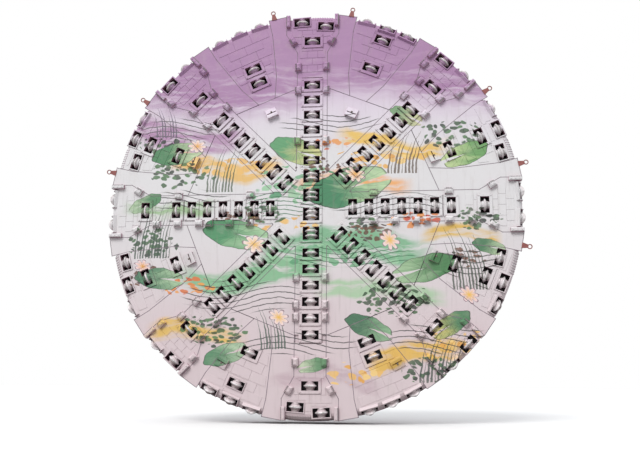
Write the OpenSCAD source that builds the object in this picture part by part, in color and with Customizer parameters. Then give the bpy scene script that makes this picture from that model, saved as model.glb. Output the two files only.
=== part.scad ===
// Cutterhead of a large slurry tunnelling machine, with the ring of the main bearing that carries it.
// Drawn lying on its back, with the face upwards, and stood up at the end: the face then looks along -Y.
// Angles run anticlockwise as the face is seen, and 0 lies along +X.

/* [Head] */
// Diameter of the bore that the outermost cutters sweep
bore_d = 16160; // [15900:10:16400]
// Distance from the rear mounting plane to the flat face
head_depth = 3900; // [3700:10:4200]
// How far the steel rim stays inside the bore
rim_relief = 60; // [40:5:90]
// Thickness of the spokes at the centre, from the face to their back
spoke_depth = 1900; // [1800:10:1950]
// Thickness of the spokes at the rim
rim_depth = 1550; // [1450:10:1600]
// Width of the flat face that is lost to the rounded edge at the rim
edge_w = 260; // [220:10:300]
// Depth of the rounded edge at the rim
edge_depth = 400; // [300:10:450]

/* [Spokes] */
// Width of a main spoke
spoke_w = 1200; // [1160:10:1240]
// Distance from the axis to the flats of the eight-sided centre body
centre_apothem = 1500; // [1490:5:1520]
// Radius where a main spoke starts to widen
flare_r1 = 6400; // [6300:10:6500]
// Radius where a main spoke has its full width
flare_r2 = 7200; // [7100:10:7300]
// Width of a main spoke at the rim
spoke_end_w = 2120; // [2080:10:2160]
// Radius where an auxiliary spoke starts
aux_r = 4750; // [4700:10:4800]
// Width of an auxiliary spoke at its root
aux_root_w = 700; // [660:10:760]
// Radius of the first bend in an auxiliary spoke's flank
aux_bend_r1 = 5600; // [5500:10:5700]
// Width of an auxiliary spoke at the first bend
aux_bend_w1 = 1500; // [1460:10:1560]
// Radius of the second bend in an auxiliary spoke's flank
aux_bend_r2 = 7300; // [7200:10:7350]
// Width of an auxiliary spoke at the second bend
aux_bend_w2 = 2500; // [2460:10:2560]
// Width of an auxiliary spoke at the rim
aux_end_w = 2700; // [2660:10:2740]
// Radial thickness of the ring beam that carries the auxiliary spokes
ring_beam_t = 440; // [400:10:480]
// Depth of the ring beam behind the covers
ring_beam_depth = 1400; // [1200:50:1500]
// Radial thickness of the outer rim ring
rim_ring_t = 270; // [240:10:300]
// Length of the rim ring along the axis
rim_ring_l = 1000; // [900:10:1050]
// How far the rim ring reaches behind the ends of the spokes
rim_ring_behind = 50; // [30:5:80]
// Width of the groove between the segments of a main spoke
joint_w = 36; // [25:1:50]
// Depth of the groove between the segments of a main spoke
joint_depth = 90; // [60:5:120]
// Thickness of the boards that close the muck slots
cover_t = 12; // [10:1:20]
// How far the boards reach past the steel rim
cover_lip = 40; // [20:5:55]

/* [Drive] */
// Outer radius of the fixed bearing ring
fixed_ring_r = 3950; // [3900:10:4000]
// Radial width of the fixed bearing ring
fixed_ring_w = 500; // [470:5:520]
// Radial width of the turning bearing ring
turning_ring_w = 600; // [550:10:650]
// Length of the fixed bearing ring along the axis
fixed_ring_l = 480; // [420:10:520]
// Distance from the mounting plane to the rear of the turning ring
turning_ring_back = 30; // [20:5:60]
// Distance from the mounting plane to the front of the turning ring
turning_ring_front = 700; // [680:10:760]
// Thickness of the head's rear flange
flange_t = 200; // [180:10:240]
// How far the head's rear flange reaches over the fixed bearing ring
flange_over = 190; // [150:10:250]
// Running gap between the bearing rings
race_gap = 0.3; // [0.2:0.05:0.5]
// Distance of the mounting holes from the edge of the fixed bearing ring
mount_inset = 250; // [230:5:270]
// Number of mounting holes
mount_holes = 48; // [36:1:60]
// Diameter of a mounting hole
mount_hole_d = 72; // [60:1:80]
// Depth of a mounting hole
mount_hole_l = 260; // [200:10:320]
// Width of a support leg
leg_w = 900; // [800:10:1000]
// Radial thickness of a support leg at the flange
leg_t = 620; // [560:10:680]
// Radial thickness of a support leg at the spoke
leg_top_t = 1050; // [950:10:1150]
// Distance from the flange's bore to a leg
leg_inset = 40; // [20:5:80]
// Thickness of the ribs beside the legs
rib_t = 60; // [40:5:80]
// Length of a rib along the flange
rib_l = 520; // [450:10:600]
// Height of a rib
rib_h = 800; // [700:10:900]
// Outer radius of the drum behind the centre body
drum_r = 1440; // [1400:10:1480]
// Length of the drum behind the centre body
drum_l = 800; // [700:10:900]
// How far the flange at the drum's rear end stands out from its wall
drum_flange_w = 130; // [100:5:160]
// Thickness of the flange at the drum's rear end
drum_flange_t = 80; // [60:5:100]
// Radius at which the stirring arms stand on the backs of the main spokes
stirrer_r = 4300; // [4200:10:4400]
// Diameter of a stirring arm
stirrer_d = 300; // [260:10:340]
// Length of a stirring arm
stirrer_l = 900; // [800:10:1000]

/* [Cutters] */
// Diameter of a disc cutter's ring, 19 inches
disc_d = 482; // [470:1:490]
// How far a disc stands out of the flat face
disc_reach = 150; // [140:5:160]
// Spacing of the cutters along a main spoke
disc_pitch = 623; // [615:1:640]
// Width of a cutter's hub
hub_w = 330; // [320:1:335]
// Diameter of a cutter's hub beside the ring
hub_d = 330; // [310:5:350]
// Diameter of the fixed shaft that a cutter turns on
shaft_d = 120; // [100:5:140]
// Radial running gap between shaft and hub
shaft_gap = 0.3; // [0.2:0.05:0.5]
// Side clearance between a hub and its housing
hub_gap = 5; // [5:1:10]
// Spacing of the double cutters along the centre line
centre_pitch = 753; // [745:1:765]
// Place of the lowest double cutter on the centre line
centre_first = -1000; // [-1010:1:-990]
// Width of a double cutter's hub
double_hub_w = 500; // [480:5:510]
// Distance between the two rings of a double cutter
double_ring_gap = 190; // [170:5:210]
// Width of a hard ring's tip
ring_tip_w = 20; // [16:1:24]
// Bevel beside the tip of a hard ring
ring_bevel = 8; // [5:1:12]
// Width of a hard ring where it meets its shoulder
ring_neck_w = 84; // [76:1:92]
// Height of a hard ring above its shoulder
ring_neck_h = 50; // [42:1:58]
// Width of the shoulder that holds a hard ring
ring_root_w = 140; // [130:1:150]
// Narrowing of a hub towards its ends
hub_taper = 30; // [20:1:40]

/* [Housings] */
// Length of a cutter housing along the shaft
housing_l = 560; // [540:5:580]
// Length of the shorter housing at the rim
short_housing_l = 400; // [390:5:410]
// Length of the housing of a double cutter
double_housing_l = 700; // [680:5:720]
// Width of a cutter housing across the shaft
housing_w = 840; // [800:10:860]
// Width of a housing at the rim
short_housing_w = 700; // [690:5:720]
// Depth of a cutter housing
housing_depth = 520; // [480:10:560]
// How far a housing stands out of the face
housing_proud = 40; // [20:5:50]
// Width of the window in a housing, across the shaft
window_w = 640; // [600:10:660]
// Depth of the window in a housing
window_depth = 420; // [400:5:440]

/* [Rim cutters] */
// Distance of the outermost upright cutters from the bore
near_inset = 280; // [270:5:300]
// Angle of an upright rim cutter from a main spoke's line
near_turn = 3.2; // [3.1:0.05:3.3]
// Angle of a gauge cutter from a main spoke's line
gauge_turn = 3.7; // [3.6:0.05:3.8]
// Angle of a gauge cutter from an auxiliary spoke's line
aux_gauge_turn = 6.4; // [6.3:0.05:6.6]
// Outward tilt of the outermost gauge cutters
gauge_tilt = 50; // [45:1:55]
// Outward tilt of the gauge cutters that stand nearer to the face
half_tilt = 30; // [25:1:35]
// Radius of the arc that the tips of the cutters follow round the rim
gauge_arc = 450; // [400:10:500]
// Length of a gauge cutter's housing along its shaft
gauge_housing_l = 440; // [420:5:460]

/* [Tools] */
// Length of a scraper along its spoke
scraper_l = 300; // [280:5:320]
// Width of a scraper
scraper_w = 240; // [220:5:260]
// Height of a scraper
scraper_h = 180; // [150:5:200]
// Distance from the spoke's line to the middle of a scraper
scraper_off = 560; // [550:5:570]
// Length of a gauge scraper
gauge_scraper_l = 500; // [450:10:550]
// Width of a gauge scraper
gauge_scraper_w = 150; // [130:5:160]
// Height of a gauge scraper
gauge_scraper_h = 150; // [120:5:180]
// Height of the bevel round the top of a scraper
scraper_bevel = 60; // [40:5:80]
// Width of the groove between a scraper's body and its blade
blade_gap = 14; // [10:1:20]
// Width of a scraper's blade
blade_w = 60; // [50:5:70]
// Thickness of the wear plates
wear_t = 12; // [8:1:16]
// Width of the seams between the wear plates
seam_w = 16; // [10:1:24]
// Length of a wear plate across an auxiliary spoke
plate_l = 740; // [700:10:780]
// Width of a wear plate on an auxiliary spoke
plate_w = 372; // [350:1:400]
// Length of a wear plate on the end of a main spoke
small_plate_l = 420; // [400:10:440]
// Width of a wear plate on the end of a main spoke
small_plate_w = 300; // [280:5:320]
// Margin between the wear plates and the edge of a spoke
wear_margin = 90; // [70:5:110]
// Height of the bars round the rim
rim_bar_t = 20; // [15:1:30]
// Angle that a band of bars covers behind a spoke's end
rim_bar_span = 12; // [10:0.5:13]
// Width of a short bar on the rounded edge
comb_w = 52; // [40:1:60]
// Angle between the short bars on the rounded edge
comb_step = 0.7; // [0.65:0.05:0.9]
// Length of a nozzle guard along the spoke
guard_l = 380; // [340:10:420]
// Width of a nozzle guard
guard_w = 440; // [400:10:480]
// Height of a nozzle guard
guard_h = 170; // [140:5:200]
// Thickness of a nozzle guard's walls
guard_wall = 30; // [20:2:36]

/* [Hidden] */
$fn = 96;
// Finer steps where a curve is as large as the rim
rim_fn = 256;
bore_r = bore_d / 2;
rim_r = bore_r - rim_relief;
race_r = fixed_ring_r - fixed_ring_w;
turning_ring_bore_r = race_r - turning_ring_w;
flange_r = race_r + flange_over;
mount_pcd = 2 * (fixed_ring_r - mount_inset);
// Welding gap between boards, bars and what they lie against
fit_gap = 0.2;
rim_ring_r = rim_r - rim_ring_t;
face_z = head_depth;
cover_z = face_z - cover_t - fit_gap;
back_z = head_depth - spoke_depth;
rim_back_z = head_depth - rim_depth;
rim_ring_z = rim_back_z - rim_ring_behind;
rim_ring_top = rim_ring_z + rim_ring_l;
flat_r = rim_r - edge_w;
cover_r = rim_r + cover_lip;
half_turn = 22.5;
// The groove between two segments lies this many pitches beyond the first cutter
joint_step = 5.5;
// Angle between the corners of the rounded edge
edge_turn = 22.5;
// A wear plate is left out where its neighbours would take more than this share of it
most_taken = 0.75;

// Main spokes: angle, radius of the first cutter, cutters at even pitch
main_rows = [
    [0, 1600, 7], [45, 1730, 7], [90, 1900, 6], [135, 1440, 7],
    [180, 1600, 7], [225, 1590, 7], [270, 1760, 6], [315, 1520, 7]
];
// The last cutter on a main spoke lies this many pitches from the first
last_step = 8;
// Auxiliary spokes: angle, then the radii of the upright cutters on its line
aux_rows = [
    [22.5, [5770, 7030, 7760]], [67.5, [6100, 7350]], [112.5, [5620, 6240]], [157.5, [5800, 7040, 7750]],
    [202.5, [5680, 6930, 7720]], [247.5, [5980, 7250]], [292.5, [5520, 6140]], [337.5, [5850, 7060, 7720]]
];
// Upright rim cutters, two on one line across the head: first spoke, angle from its line, radius
near_rows = [
    [45, near_turn, bore_r - near_inset], [135, near_turn, bore_r - near_inset],
    [90, near_turn, 7720], [90, -4.1, 7530], [22.5, -6.8, 7550], [157.5, 6.6, 7350]
];
// Gauge cutters: spoke, angle from its line, tilt
gauge_rows = concat(
    [for (a = [0, 180]) for (side = [-1, 1]) [a, side * gauge_turn, gauge_tilt]],
    [for (a = [45, 135, 225, 315]) [a, -gauge_turn, gauge_tilt]],
    [for (a = [22.5, 202.5]) [a, aux_gauge_turn, gauge_tilt]],
    [for (a = [157.5, 337.5]) [a, -aux_gauge_turn, half_tilt]],
    [for (a = [67.5, 247.5]) each [
        [a, -aux_gauge_turn, half_tilt], [a, 0, half_tilt], [a, aux_gauge_turn, gauge_tilt]
    ]],
    [for (a = [112.5, 292.5]) for (k = [-1 : 1]) [a, k * aux_gauge_turn, gauge_tilt]]
);
// Spokes whose rounded edge carries short bars: angle, width of the edge that they may fill
comb_rows = [
    [22.5, aux_end_w], [157.5, aux_end_w], [202.5, aux_end_w], [337.5, aux_end_w],
    [90, spoke_end_w - 2 * gauge_scraper_w], [270, spoke_end_w - 2 * gauge_scraper_w]
];
// Scrapers on main spokes: angle, side, then the radii
scraper_rows = [
    [0, -1, [2400, 3200, 4000, 4400, 5250, 6100]], [0, 1, [2400, 5250]],
    [45, -1, [5690, 6540]], [45, 1, [5690, 6540]],
    [90, -1, [2700, 4800, 5780]], [90, 1, [2700, 4800, 5780]],
    [135, -1, [5400, 6250]], [135, 1, [5400, 6250]],
    [180, -1, [2400, 5250]], [180, 1, [2400, 3200, 4000, 4400, 5250, 6100]],
    [225, -1, [5640, 6450]], [225, 1, [5640, 6450]],
    [270, -1, [2700, 3750, 4200, 5880]], [270, 1, [2700, 3750, 4200, 5880]],
    [315, -1, [5480, 6330]], [315, 1, [5480, 6330]]
];
// Scrapers at the corners where the main spokes widen: radius, distance from the line, turn
corner_straight = [6880, 780, 30];
corner_slanted = [7180, 920, 0];
function corner_place(a) = a % 90 == 0 ? corner_straight : corner_slanted;
// Nozzle guards: angle and radius
guards = [
    [22.5, 5100], [67.5, 4100], [112.5, 4200], [157.5, 5100],
    [202.5, 5100], [240.6, 6770], [298.6, 6740], [337.5, 5100]
];
// Empty scraper seats on main spokes: angle, radius, side
seats = [[270, 5010, -1], [270, 5010, 1]];

function cutter_radii(row) = concat(
    [for (i = [0 : row[2] - 1]) row[1] + i * disc_pitch],
    [row[1] + last_step * disc_pitch]
);
// Angles of the short bars from a spoke's line: what the housings in its rounded edge leave free
function comb_angles(row) = [
    for (i = [-floor(comb_reach(row) / comb_step) : floor(comb_reach(row) / comb_step)])
        let (a = i * comb_step)
            if (min(concat([90], [for (k = edge_turns(row[0])) abs(a - k)])) > comb_clear()) a
];
function comb_reach(row) = asin((row[1] / 2 - comb_w) / rim_r);
function comb_clear() = asin((short_housing_w / 2 + comb_w) / rim_r);
// Angles from a spoke's line of the housings that reach into its rounded edge
function edge_turns(a) = concat(
    [for (g = gauge_rows) if (g[0] == a) g[1]],
    [for (n = near_of(a)) if (n[2] + short_housing_l / 2 > flat_r) n[1]],
    [for (row = aux_rows) if (row[0] == a) for (r = row[1]) if (r + short_housing_l / 2 > flat_r) 0]
);
function near_of(a) = [for (n = near_rows) if (n[0] == a || n[0] + 180 == a) n];
// The cutters beyond the last bend of an auxiliary spoke stand in shorter housings
function is_short(r) = r + short_housing_l / 2 > aux_bend_r2;
function turned(p, a) = [p[0] * cos(a) - p[1] * sin(a), p[0] * sin(a) + p[1] * cos(a)];
// Where a line along a spoke at offset w meets a circle of radius r
function on_circle(r, w) = [sqrt(r * r - w * w), w];
// Where a main spoke's flank meets the end line of the ring beam, in the main spoke's frame
function flank_at(x) = [(x - spoke_w / 2 * sin(half_turn)) / cos(half_turn), spoke_w / 2];

function main_row_name(i) = str("cutter_row_", main_rows[i][0]);
function aux_row_name(i) = str("auxiliary_cutter_row_", floor(aux_rows[i][0]));
function near_name(i) = str("rim_cutters_", i);
function gauge_name(i) = str("gauge_cutter_", i);

// Stands the head up, so that its face looks along -Y
module stand() {
    rotate([90, 0, 0]) children();
}

// Outline of a main spoke as the face is seen, from the centre body outwards
module main_plan() {
    w = spoke_w / 2;
    e = spoke_end_w / 2;
    polygon([
        [centre_apothem, -w], [flare_r1, -w], [flare_r2, -e], [bore_r, -e],
        [bore_r, e], [flare_r2, e], [flare_r1, w], [centre_apothem, w]
    ]);
}

// Outline of an auxiliary spoke as the face is seen
module aux_plan() {
    a = aux_root_w / 2;
    b = aux_bend_w1 / 2;
    c = aux_bend_w2 / 2;
    e = aux_end_w / 2;
    polygon([
        [aux_r, -a], [aux_bend_r1, -b], [aux_bend_r2, -c], [bore_r, -e],
        [bore_r, e], [aux_bend_r2, c], [aux_bend_r1, b], [aux_r, a]
    ]);
}

// A point on the rounded edge, or t above it: a quarter of an ellipse, from 0 at the face to 90 at the rim
function rim_edge(a, t = 0) = [
    flat_r + (edge_w + t) * sin(a), face_z - edge_depth + (edge_depth + t) * cos(a)
];

// Space that the welded head may fill: flat face, rounded edge, seat of the rim ring, tapered back
module head_envelope() {
    rotate_extrude($fn = rim_fn) polygon(concat(
        [
            [0, back_z], [aux_r, back_z], [rim_ring_r, rim_back_z], [rim_ring_r, rim_ring_top],
            [rim_r, rim_ring_top]
        ],
        [for (a = [90 : -edge_turn : 0]) rim_edge(a)],
        [[0, face_z]]
    ));
}

// Puts a cutter or housing, drawn with its shaft along X and its disc's middle at 0, in its place
module at_face(angle, r) {
    rotate([0, 0, angle]) translate([r, 0, face_z + disc_reach - disc_d / 2]) children();
}

// The same for a gauge cutter: its tip lies on the arc that ends at the bore, square to the arc
module at_gauge(g) {
    middle = gauge_middle(g[2]);
    rotate([0, 0, g[0] + g[1]]) translate([middle[0], 0, middle[1]]) rotate([0, g[2], 0]) children();
}

// Depth of a disc's middle below the front of its housing
disc_sink = disc_d / 2 - disc_reach + housing_proud;

module housing_block(l, w) {
    translate([-l / 2, -w / 2, disc_sink - housing_depth]) cube([l, w, housing_depth]);
}

// Housing with its window and the fixed shaft
module housing(l, w, window_l) {
    difference() {
        housing_block(l, w);
        translate([-window_l / 2, -window_w / 2, disc_sink - window_depth])
            cube([window_l, window_w, housing_depth]);
    }
    rotate([0, 90, 0])
        cylinder(h = window_l + shaft_d / 4, d = shaft_d, center = true);
}

// Every place of a housing, once for the housings and once for the pockets they sit in
module each_main(row) {
    for (r = cutter_radii(row)) at_face(row[0], r) children();
}

module each_aux_long(row) {
    for (r = row[1]) if (!is_short(r)) at_face(row[0], r) children();
}

module each_near(n) {
    for (half = [0, 180]) at_face(n[0] + half + n[1], n[2]) children();
}

module each_short() {
    for (row = aux_rows) for (r = row[1]) if (is_short(r)) at_face(row[0], r) children();
    for (n = near_rows) each_near(n) children();
}

module each_gauge() {
    for (g = gauge_rows) at_gauge(g) children();
}

module each_centre() {
    for (i = [0 : 3]) at_face(90, centre_first + i * centre_pitch) children();
}

module face_pockets() {
    for (row = main_rows) each_main(row) housing_block(housing_l, housing_w);
}

module aux_pockets() {
    for (row = aux_rows) each_aux_long(row) housing_block(housing_l, housing_w);
}

module rim_pockets() {
    each_short() housing_block(short_housing_l, short_housing_w);
    each_gauge() housing_block(gauge_housing_l, short_housing_w);
}

module centre_pockets() {
    each_centre() housing_block(double_housing_l, housing_w);
}

module fixed_bearing_ring() {
    color("dimgray") difference() {
        rotate_extrude() translate([race_r + race_gap, 0])
            square([fixed_ring_r - race_r - race_gap, fixed_ring_l]);
        for (i = [0 : mount_holes - 1]) rotate([0, 0, i * 360 / mount_holes])
            translate([mount_pcd / 2, 0, -1]) cylinder(h = mount_hole_l + 1, d = mount_hole_d);
    }
}

module turning_bearing_ring() {
    color("gray") rotate_extrude() polygon([
        [turning_ring_bore_r, turning_ring_back], [race_r, turning_ring_back],
        [race_r, fixed_ring_l + race_gap], [flange_r, fixed_ring_l + race_gap],
        [flange_r, turning_ring_front], [turning_ring_bore_r, turning_ring_front]
    ]);
}

module head_flange() {
    color("thistle") rotate_extrude() translate([turning_ring_bore_r, turning_ring_front])
        square([flange_r - turning_ring_bore_r, flange_t]);
}

// Box legs, flared towards the spokes
module support_legs() {
    foot = turning_ring_front + flange_t;
    inner = turning_ring_bore_r + leg_inset;
    middle = inner + leg_t / 2;
    top = back_z - fit_gap;
    color("thistle") for (row = main_rows) rotate([0, 0, row[0]]) {
        translate([0, leg_w / 2, 0]) rotate([90, 0, 0]) linear_extrude(leg_w) polygon([
            [inner, foot], [inner + leg_t, foot], [inner + leg_top_t, top], [inner, top]
        ]);
        for (side = [0, 1]) mirror([0, side, 0])
            translate([middle - rib_t / 2, leg_w / 2, foot]) rotate([90, 0, 90])
                linear_extrude(rib_t) polygon([[0, 0], [rib_l, 0], [0, rib_h]]);
    }
}

// Drum behind the centre body, with a flange at its rear end
module centre_drum() {
    back = back_z - drum_l;
    color("thistle") rotate_extrude() polygon([
        [0, back], [drum_r, back], [drum_r, back + drum_flange_t],
        [drum_r - drum_flange_w, back + drum_flange_t], [drum_r - drum_flange_w, back_z], [0, back_z]
    ]);
}

module centre_body() {
    color("lavender") difference() {
        translate([0, 0, back_z]) linear_extrude(spoke_depth) intersection() {
            square(2 * centre_apothem, center = true);
            rotate(45) square(2 * centre_apothem, center = true);
        }
        face_pockets();
        centre_pockets();
    }
}

// Grooves between the segments of the main spokes
module segment_joints() {
    for (row = main_rows) rotate([0, 0, row[0]])
        translate([row[1] + joint_step * disc_pitch - joint_w / 2, -housing_w / 2, face_z - joint_depth])
            cube([joint_w, housing_w, 2 * joint_depth]);
}

// Shallow seats where two scrapers are still missing
module empty_seats() {
    for (s = seats) rotate([0, 0, s[0]])
        translate([s[1] - scraper_l / 2, s[2] * scraper_off - scraper_w / 2, face_z - scraper_bevel])
            cube([scraper_l, scraper_w, 2 * scraper_bevel]);
}

module main_spokes() {
    color("lavender") {
        difference() {
            intersection() {
                for (row = main_rows) rotate([0, 0, row[0]]) linear_extrude(face_z) main_plan();
                head_envelope();
            }
            face_pockets();
            centre_pockets();
            rim_pockets();
            segment_joints();
            empty_seats();
        }
        for (row = main_rows) rotate([0, 0, row[0]]) translate([stirrer_r, 0, back_z - stirrer_l])
            cylinder(h = stirrer_l, d = stirrer_d);
    }
}

module auxiliary_spokes() {
    color("lavenderblush") difference() {
        intersection() {
            for (row = aux_rows) rotate([0, 0, row[0]]) linear_extrude(face_z) aux_plan();
            head_envelope();
        }
        aux_pockets();
        rim_pockets();
    }
}

// Eight straight beams from spoke to spoke, under the edge of the inner covers
module ring_beam() {
    top = cover_z - fit_gap;
    far = flank_at(aux_r);
    near = flank_at(aux_r - ring_beam_t);
    color("plum") for (row = aux_rows) rotate([0, 0, row[0] - half_turn])
        translate([0, 0, top - ring_beam_depth]) linear_extrude(ring_beam_depth) polygon([
            near, far, turned([far[0], -far[1]], 2 * half_turn), turned([near[0], -near[1]], 2 * half_turn)
        ]);
}

module rim_ring() {
    color("plum") rotate_extrude() translate([rim_ring_r, rim_ring_z]) square([rim_ring_t, rim_ring_l]);
}

module face_cutter_housings() {
    color("silver") {
        for (row = main_rows) each_main(row) housing(housing_l, housing_w, hub_w + 2 * hub_gap);
        for (row = aux_rows) each_aux_long(row) housing(housing_l, housing_w, hub_w + 2 * hub_gap);
        each_centre() housing(double_housing_l, housing_w, double_hub_w + 2 * hub_gap);
    }
}

module rim_cutter_housings() {
    color("silver") {
        each_short() housing(short_housing_l, short_housing_w, hub_w + 2 * hub_gap);
        difference() {
            intersection() {
                each_gauge() housing(gauge_housing_l, short_housing_w, hub_w + 2 * hub_gap);
                cylinder(h = 2 * face_z, r = rim_r, $fn = rim_fn);
            }
            each_short() housing_block(short_housing_l, short_housing_w);
        }
    }
}

// Half the plated width of a spoke, by radius
aux_halves = [
    [aux_bend_r1, aux_bend_w1 / 2 - wear_margin], [aux_bend_r2, aux_bend_w2 / 2 - wear_margin]
];
main_halves = [
    [flare_r1, spoke_w / 2 - wear_margin], [flare_r2, spoke_end_w / 2 - gauge_scraper_w - wear_margin]
];
function aux_half(x) = lookup(x, aux_halves);
function main_half(x) = lookup(x, main_halves);
// Radius where the plates of a main spoke start, beyond its even row of cutters
function main_start(row) = row[1] + (row[2] - 0.5) * disc_pitch + wear_margin;

// What stands in the plates of a spoke, in its own frame: centre and size of each rectangle
function room(p, l, w) = [p[0], p[1], l + wear_margin / 2, w + wear_margin / 2];
function aux_rooms(row) = concat(
    [for (r = row[1]) room([r, 0], housing_l, housing_w)],
    rim_rooms(row[0]),
    [for (g = guards) if (abs(g[0] - row[0]) < half_turn / 2)
        turned_room(g[1], g[0] - row[0], guard_l, guard_w)]
);
function main_rooms(row) = concat(
    [for (r = cutter_radii(row)) room([r, 0], housing_l, housing_w)],
    rim_rooms(row[0]),
    [for (s = scraper_rows) if (s[0] == row[0]) for (r = s[2])
        room([r, s[1] * scraper_off], scraper_l, scraper_w)],
    [for (side = [-1, 1]) let (c = corner_place(row[0]), across = sin(c[2]), along = cos(c[2]))
        room([c[0], side * c[1]], scraper_l * along + scraper_w * across, scraper_w * along + scraper_l * across)]
);
function rim_rooms(a) = concat(
    [for (n = near_of(a)) turned_room(n[2], n[1], short_housing_l, short_housing_w)],
    [for (g = gauge_rows) if (g[0] == a)
        turned_room(bore_r, g[1], 2 * (bore_r - gauge_inner(g[2])), short_housing_w)]
);
function turned_room(r, a, l, w) =
    room(turned([r, 0], a), l * cos(a) + w * abs(sin(a)), w * cos(a) + l * abs(sin(a)));
// Radius and height of a gauge cutter's middle for its tilt
function gauge_middle(tilt) = [
    bore_r - gauge_arc * (sin(gauge_tilt) - sin(tilt)) - disc_d / 2 * sin(tilt),
    face_z + disc_reach - gauge_arc * (1 - cos(tilt)) - disc_d / 2 * cos(tilt)
];
// Radius at which the inner side of its housing meets the face
function gauge_inner(tilt) = gauge_middle(tilt)[0]
    + ((face_z - gauge_middle(tilt)[1]) * sin(tilt) - gauge_housing_l / 2) / cos(tilt);
// An anticlockwise polygon with every side moved inwards by d
function pulled_in(p, d) = [
    for (i = [0 : len(p) - 1])
        let (a = side_line(p[i], p[(i + 1) % len(p)], d))
        let (b = side_line(p[(i + len(p) - 1) % len(p)], p[i], d))
            [b[2] * a[1] - a[2] * b[1], b[0] * a[2] - a[0] * b[2]] / (b[0] * a[1] - a[0] * b[1])
];
function side_line(p, q, d) =
    let (n = [p[1] - q[1], q[0] - p[0]] / norm(q - p)) [n[0], n[1], n * p + d];

// How much of a plate at p, w by l, a room takes
function shared(a, la, b, lb) = max(0, min(a + la / 2, b + lb / 2) - max(a - la / 2, b - lb / 2));
function taken(p, w, l, k) = shared(p[0], w, k[0], k[2]) * shared(p[1], l, k[1], k[3]) / (w * l);

// Places of the plates in courses of width w from the rim inwards, every other course moved by half a plate.
// A plate stays where its middle lies on the spoke and the rooms leave most of it.
function course_places(start, l, w, rooms, half) = [
    for (i = [0 : floor((flat_r - wear_margin - start) / w) - 1]) for (k = [-3 : 3])
        let (p = [flat_r - wear_margin - (i + 0.5) * w, (k + (i % 2) / 2) * l])
            if (abs(p[1]) < lookup(p[0], half) && max([for (r = rooms) taken(p, w, l, r)]) < most_taken) p
];

module plates(places, l, w, rooms) {
    difference() {
        for (p = places) translate(p) square([w - seam_w, l - seam_w], center = true);
        for (r = rooms) translate([r[0], r[1]]) square([r[2], r[3]], center = true);
    }
}

// Wear plates in brick bond on the auxiliary spokes and on the ends of the main spokes
module wear_plates() {
    color("mistyrose") translate([0, 0, face_z]) linear_extrude(wear_t) {
        for (row = aux_rows) rotate(row[0]) intersection() {
            plates(
                course_places(aux_bend_r1, plate_l, plate_w, aux_rooms(row), aux_halves),
                plate_l, plate_w, aux_rooms(row)
            );
            polygon([
                [aux_r, -aux_half(aux_r)], [aux_bend_r1, -aux_half(aux_bend_r1)],
                [aux_bend_r2, -aux_half(aux_bend_r2)], [flat_r, -aux_half(flat_r)],
                [flat_r, aux_half(flat_r)], [aux_bend_r2, aux_half(aux_bend_r2)],
                [aux_bend_r1, aux_half(aux_bend_r1)], [aux_r, aux_half(aux_r)]
            ]);
        }
        for (row = main_rows) rotate(row[0]) intersection() {
            plates(
                course_places(main_start(row), small_plate_l, small_plate_w, main_rooms(row), main_halves),
                small_plate_l, small_plate_w, main_rooms(row)
            );
            polygon([
                [centre_apothem, -main_half(flare_r1)], [flare_r1, -main_half(flare_r1)],
                [flare_r2, -main_half(flare_r2)], [flat_r, -main_half(flare_r2)],
                [flat_r, main_half(flare_r2)], [flare_r2, main_half(flare_r2)],
                [flare_r1, main_half(flare_r1)], [centre_apothem, main_half(flare_r1)]
            ]);
        }
    }
}

// A block with bevels along its two long and its two short top edges
module bevelled_block(l, w, h, bevel) {
    intersection() {
        translate([l / 2, 0, 0]) rotate([0, -90, 0]) linear_extrude(l) polygon([
            [0, -w / 2], [h - bevel, -w / 2], [h, -w / 2 + bevel], [h, w / 2 - bevel],
            [h - bevel, w / 2], [0, w / 2]
        ]);
        translate([0, w / 2, 0]) rotate([90, 0, 0]) linear_extrude(w) polygon([
            [-l / 2, 0], [l / 2, 0], [l / 2, h - bevel], [l / 2 - bevel, h],
            [bevel - l / 2, h], [-l / 2, h - bevel]
        ]);
    }
}

// A scraper: a bevelled body with a hard blade along the edge that leans over the slot
module scraper() {
    blade_y = scraper_w / 2 - blade_w;
    difference() {
        bevelled_block(scraper_l, scraper_w, scraper_h, scraper_bevel);
        translate([-scraper_l / 2 - 1, blade_y - blade_gap, scraper_h - scraper_bevel])
            cube([scraper_l + 2, blade_gap, scraper_h]);
    }
}

module scrapers() {
    color("gainsboro") {
        for (row = scraper_rows) for (r = row[2])
            rotate([0, 0, row[0]]) translate([r, row[1] * scraper_off, face_z])
                mirror([0, row[1] < 0 ? 1 : 0, 0]) scraper();
        for (row = main_rows) for (side = [0, 1]) let (c = corner_place(row[0]))
            rotate([0, 0, row[0]]) mirror([0, side, 0]) translate([c[0], c[1], face_z])
                rotate([0, 0, c[2]]) scraper();
    }
}

// Bars along both sides of a main spoke's end, which reach over the rounded edge and follow it below
module gauge_scrapers() {
    off = spoke_end_w / 2 - gauge_scraper_w / 2;
    end = on_circle(cover_r, spoke_end_w / 2)[0];
    color("gainsboro") difference() {
        for (row = main_rows) for (side = [0, 1])
            rotate([0, 0, row[0]]) mirror([0, side, 0])
                translate([end - gauge_scraper_l / 2, off, face_z - gauge_scraper_h])
                    bevelled_block(gauge_scraper_l, gauge_scraper_w, 2 * gauge_scraper_h, scraper_bevel / 2);
        head_envelope();
    }
}

// Boards between the main spokes, from the centre body to the ring beam
module inner_slot_covers() {
    tip = [centre_apothem / cos(half_turn), 0];
    low = turned([centre_apothem, spoke_w / 2], -half_turn);
    far = turned(flank_at(aux_r), -half_turn);
    color("honeydew") for (row = aux_rows) rotate([0, 0, row[0]])
        translate([0, 0, cover_z]) linear_extrude(cover_t) polygon(pulled_in([
            tip, low, far, [far[0], -far[1]], [low[0], -low[1]]
        ], fit_gap));
}

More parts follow.
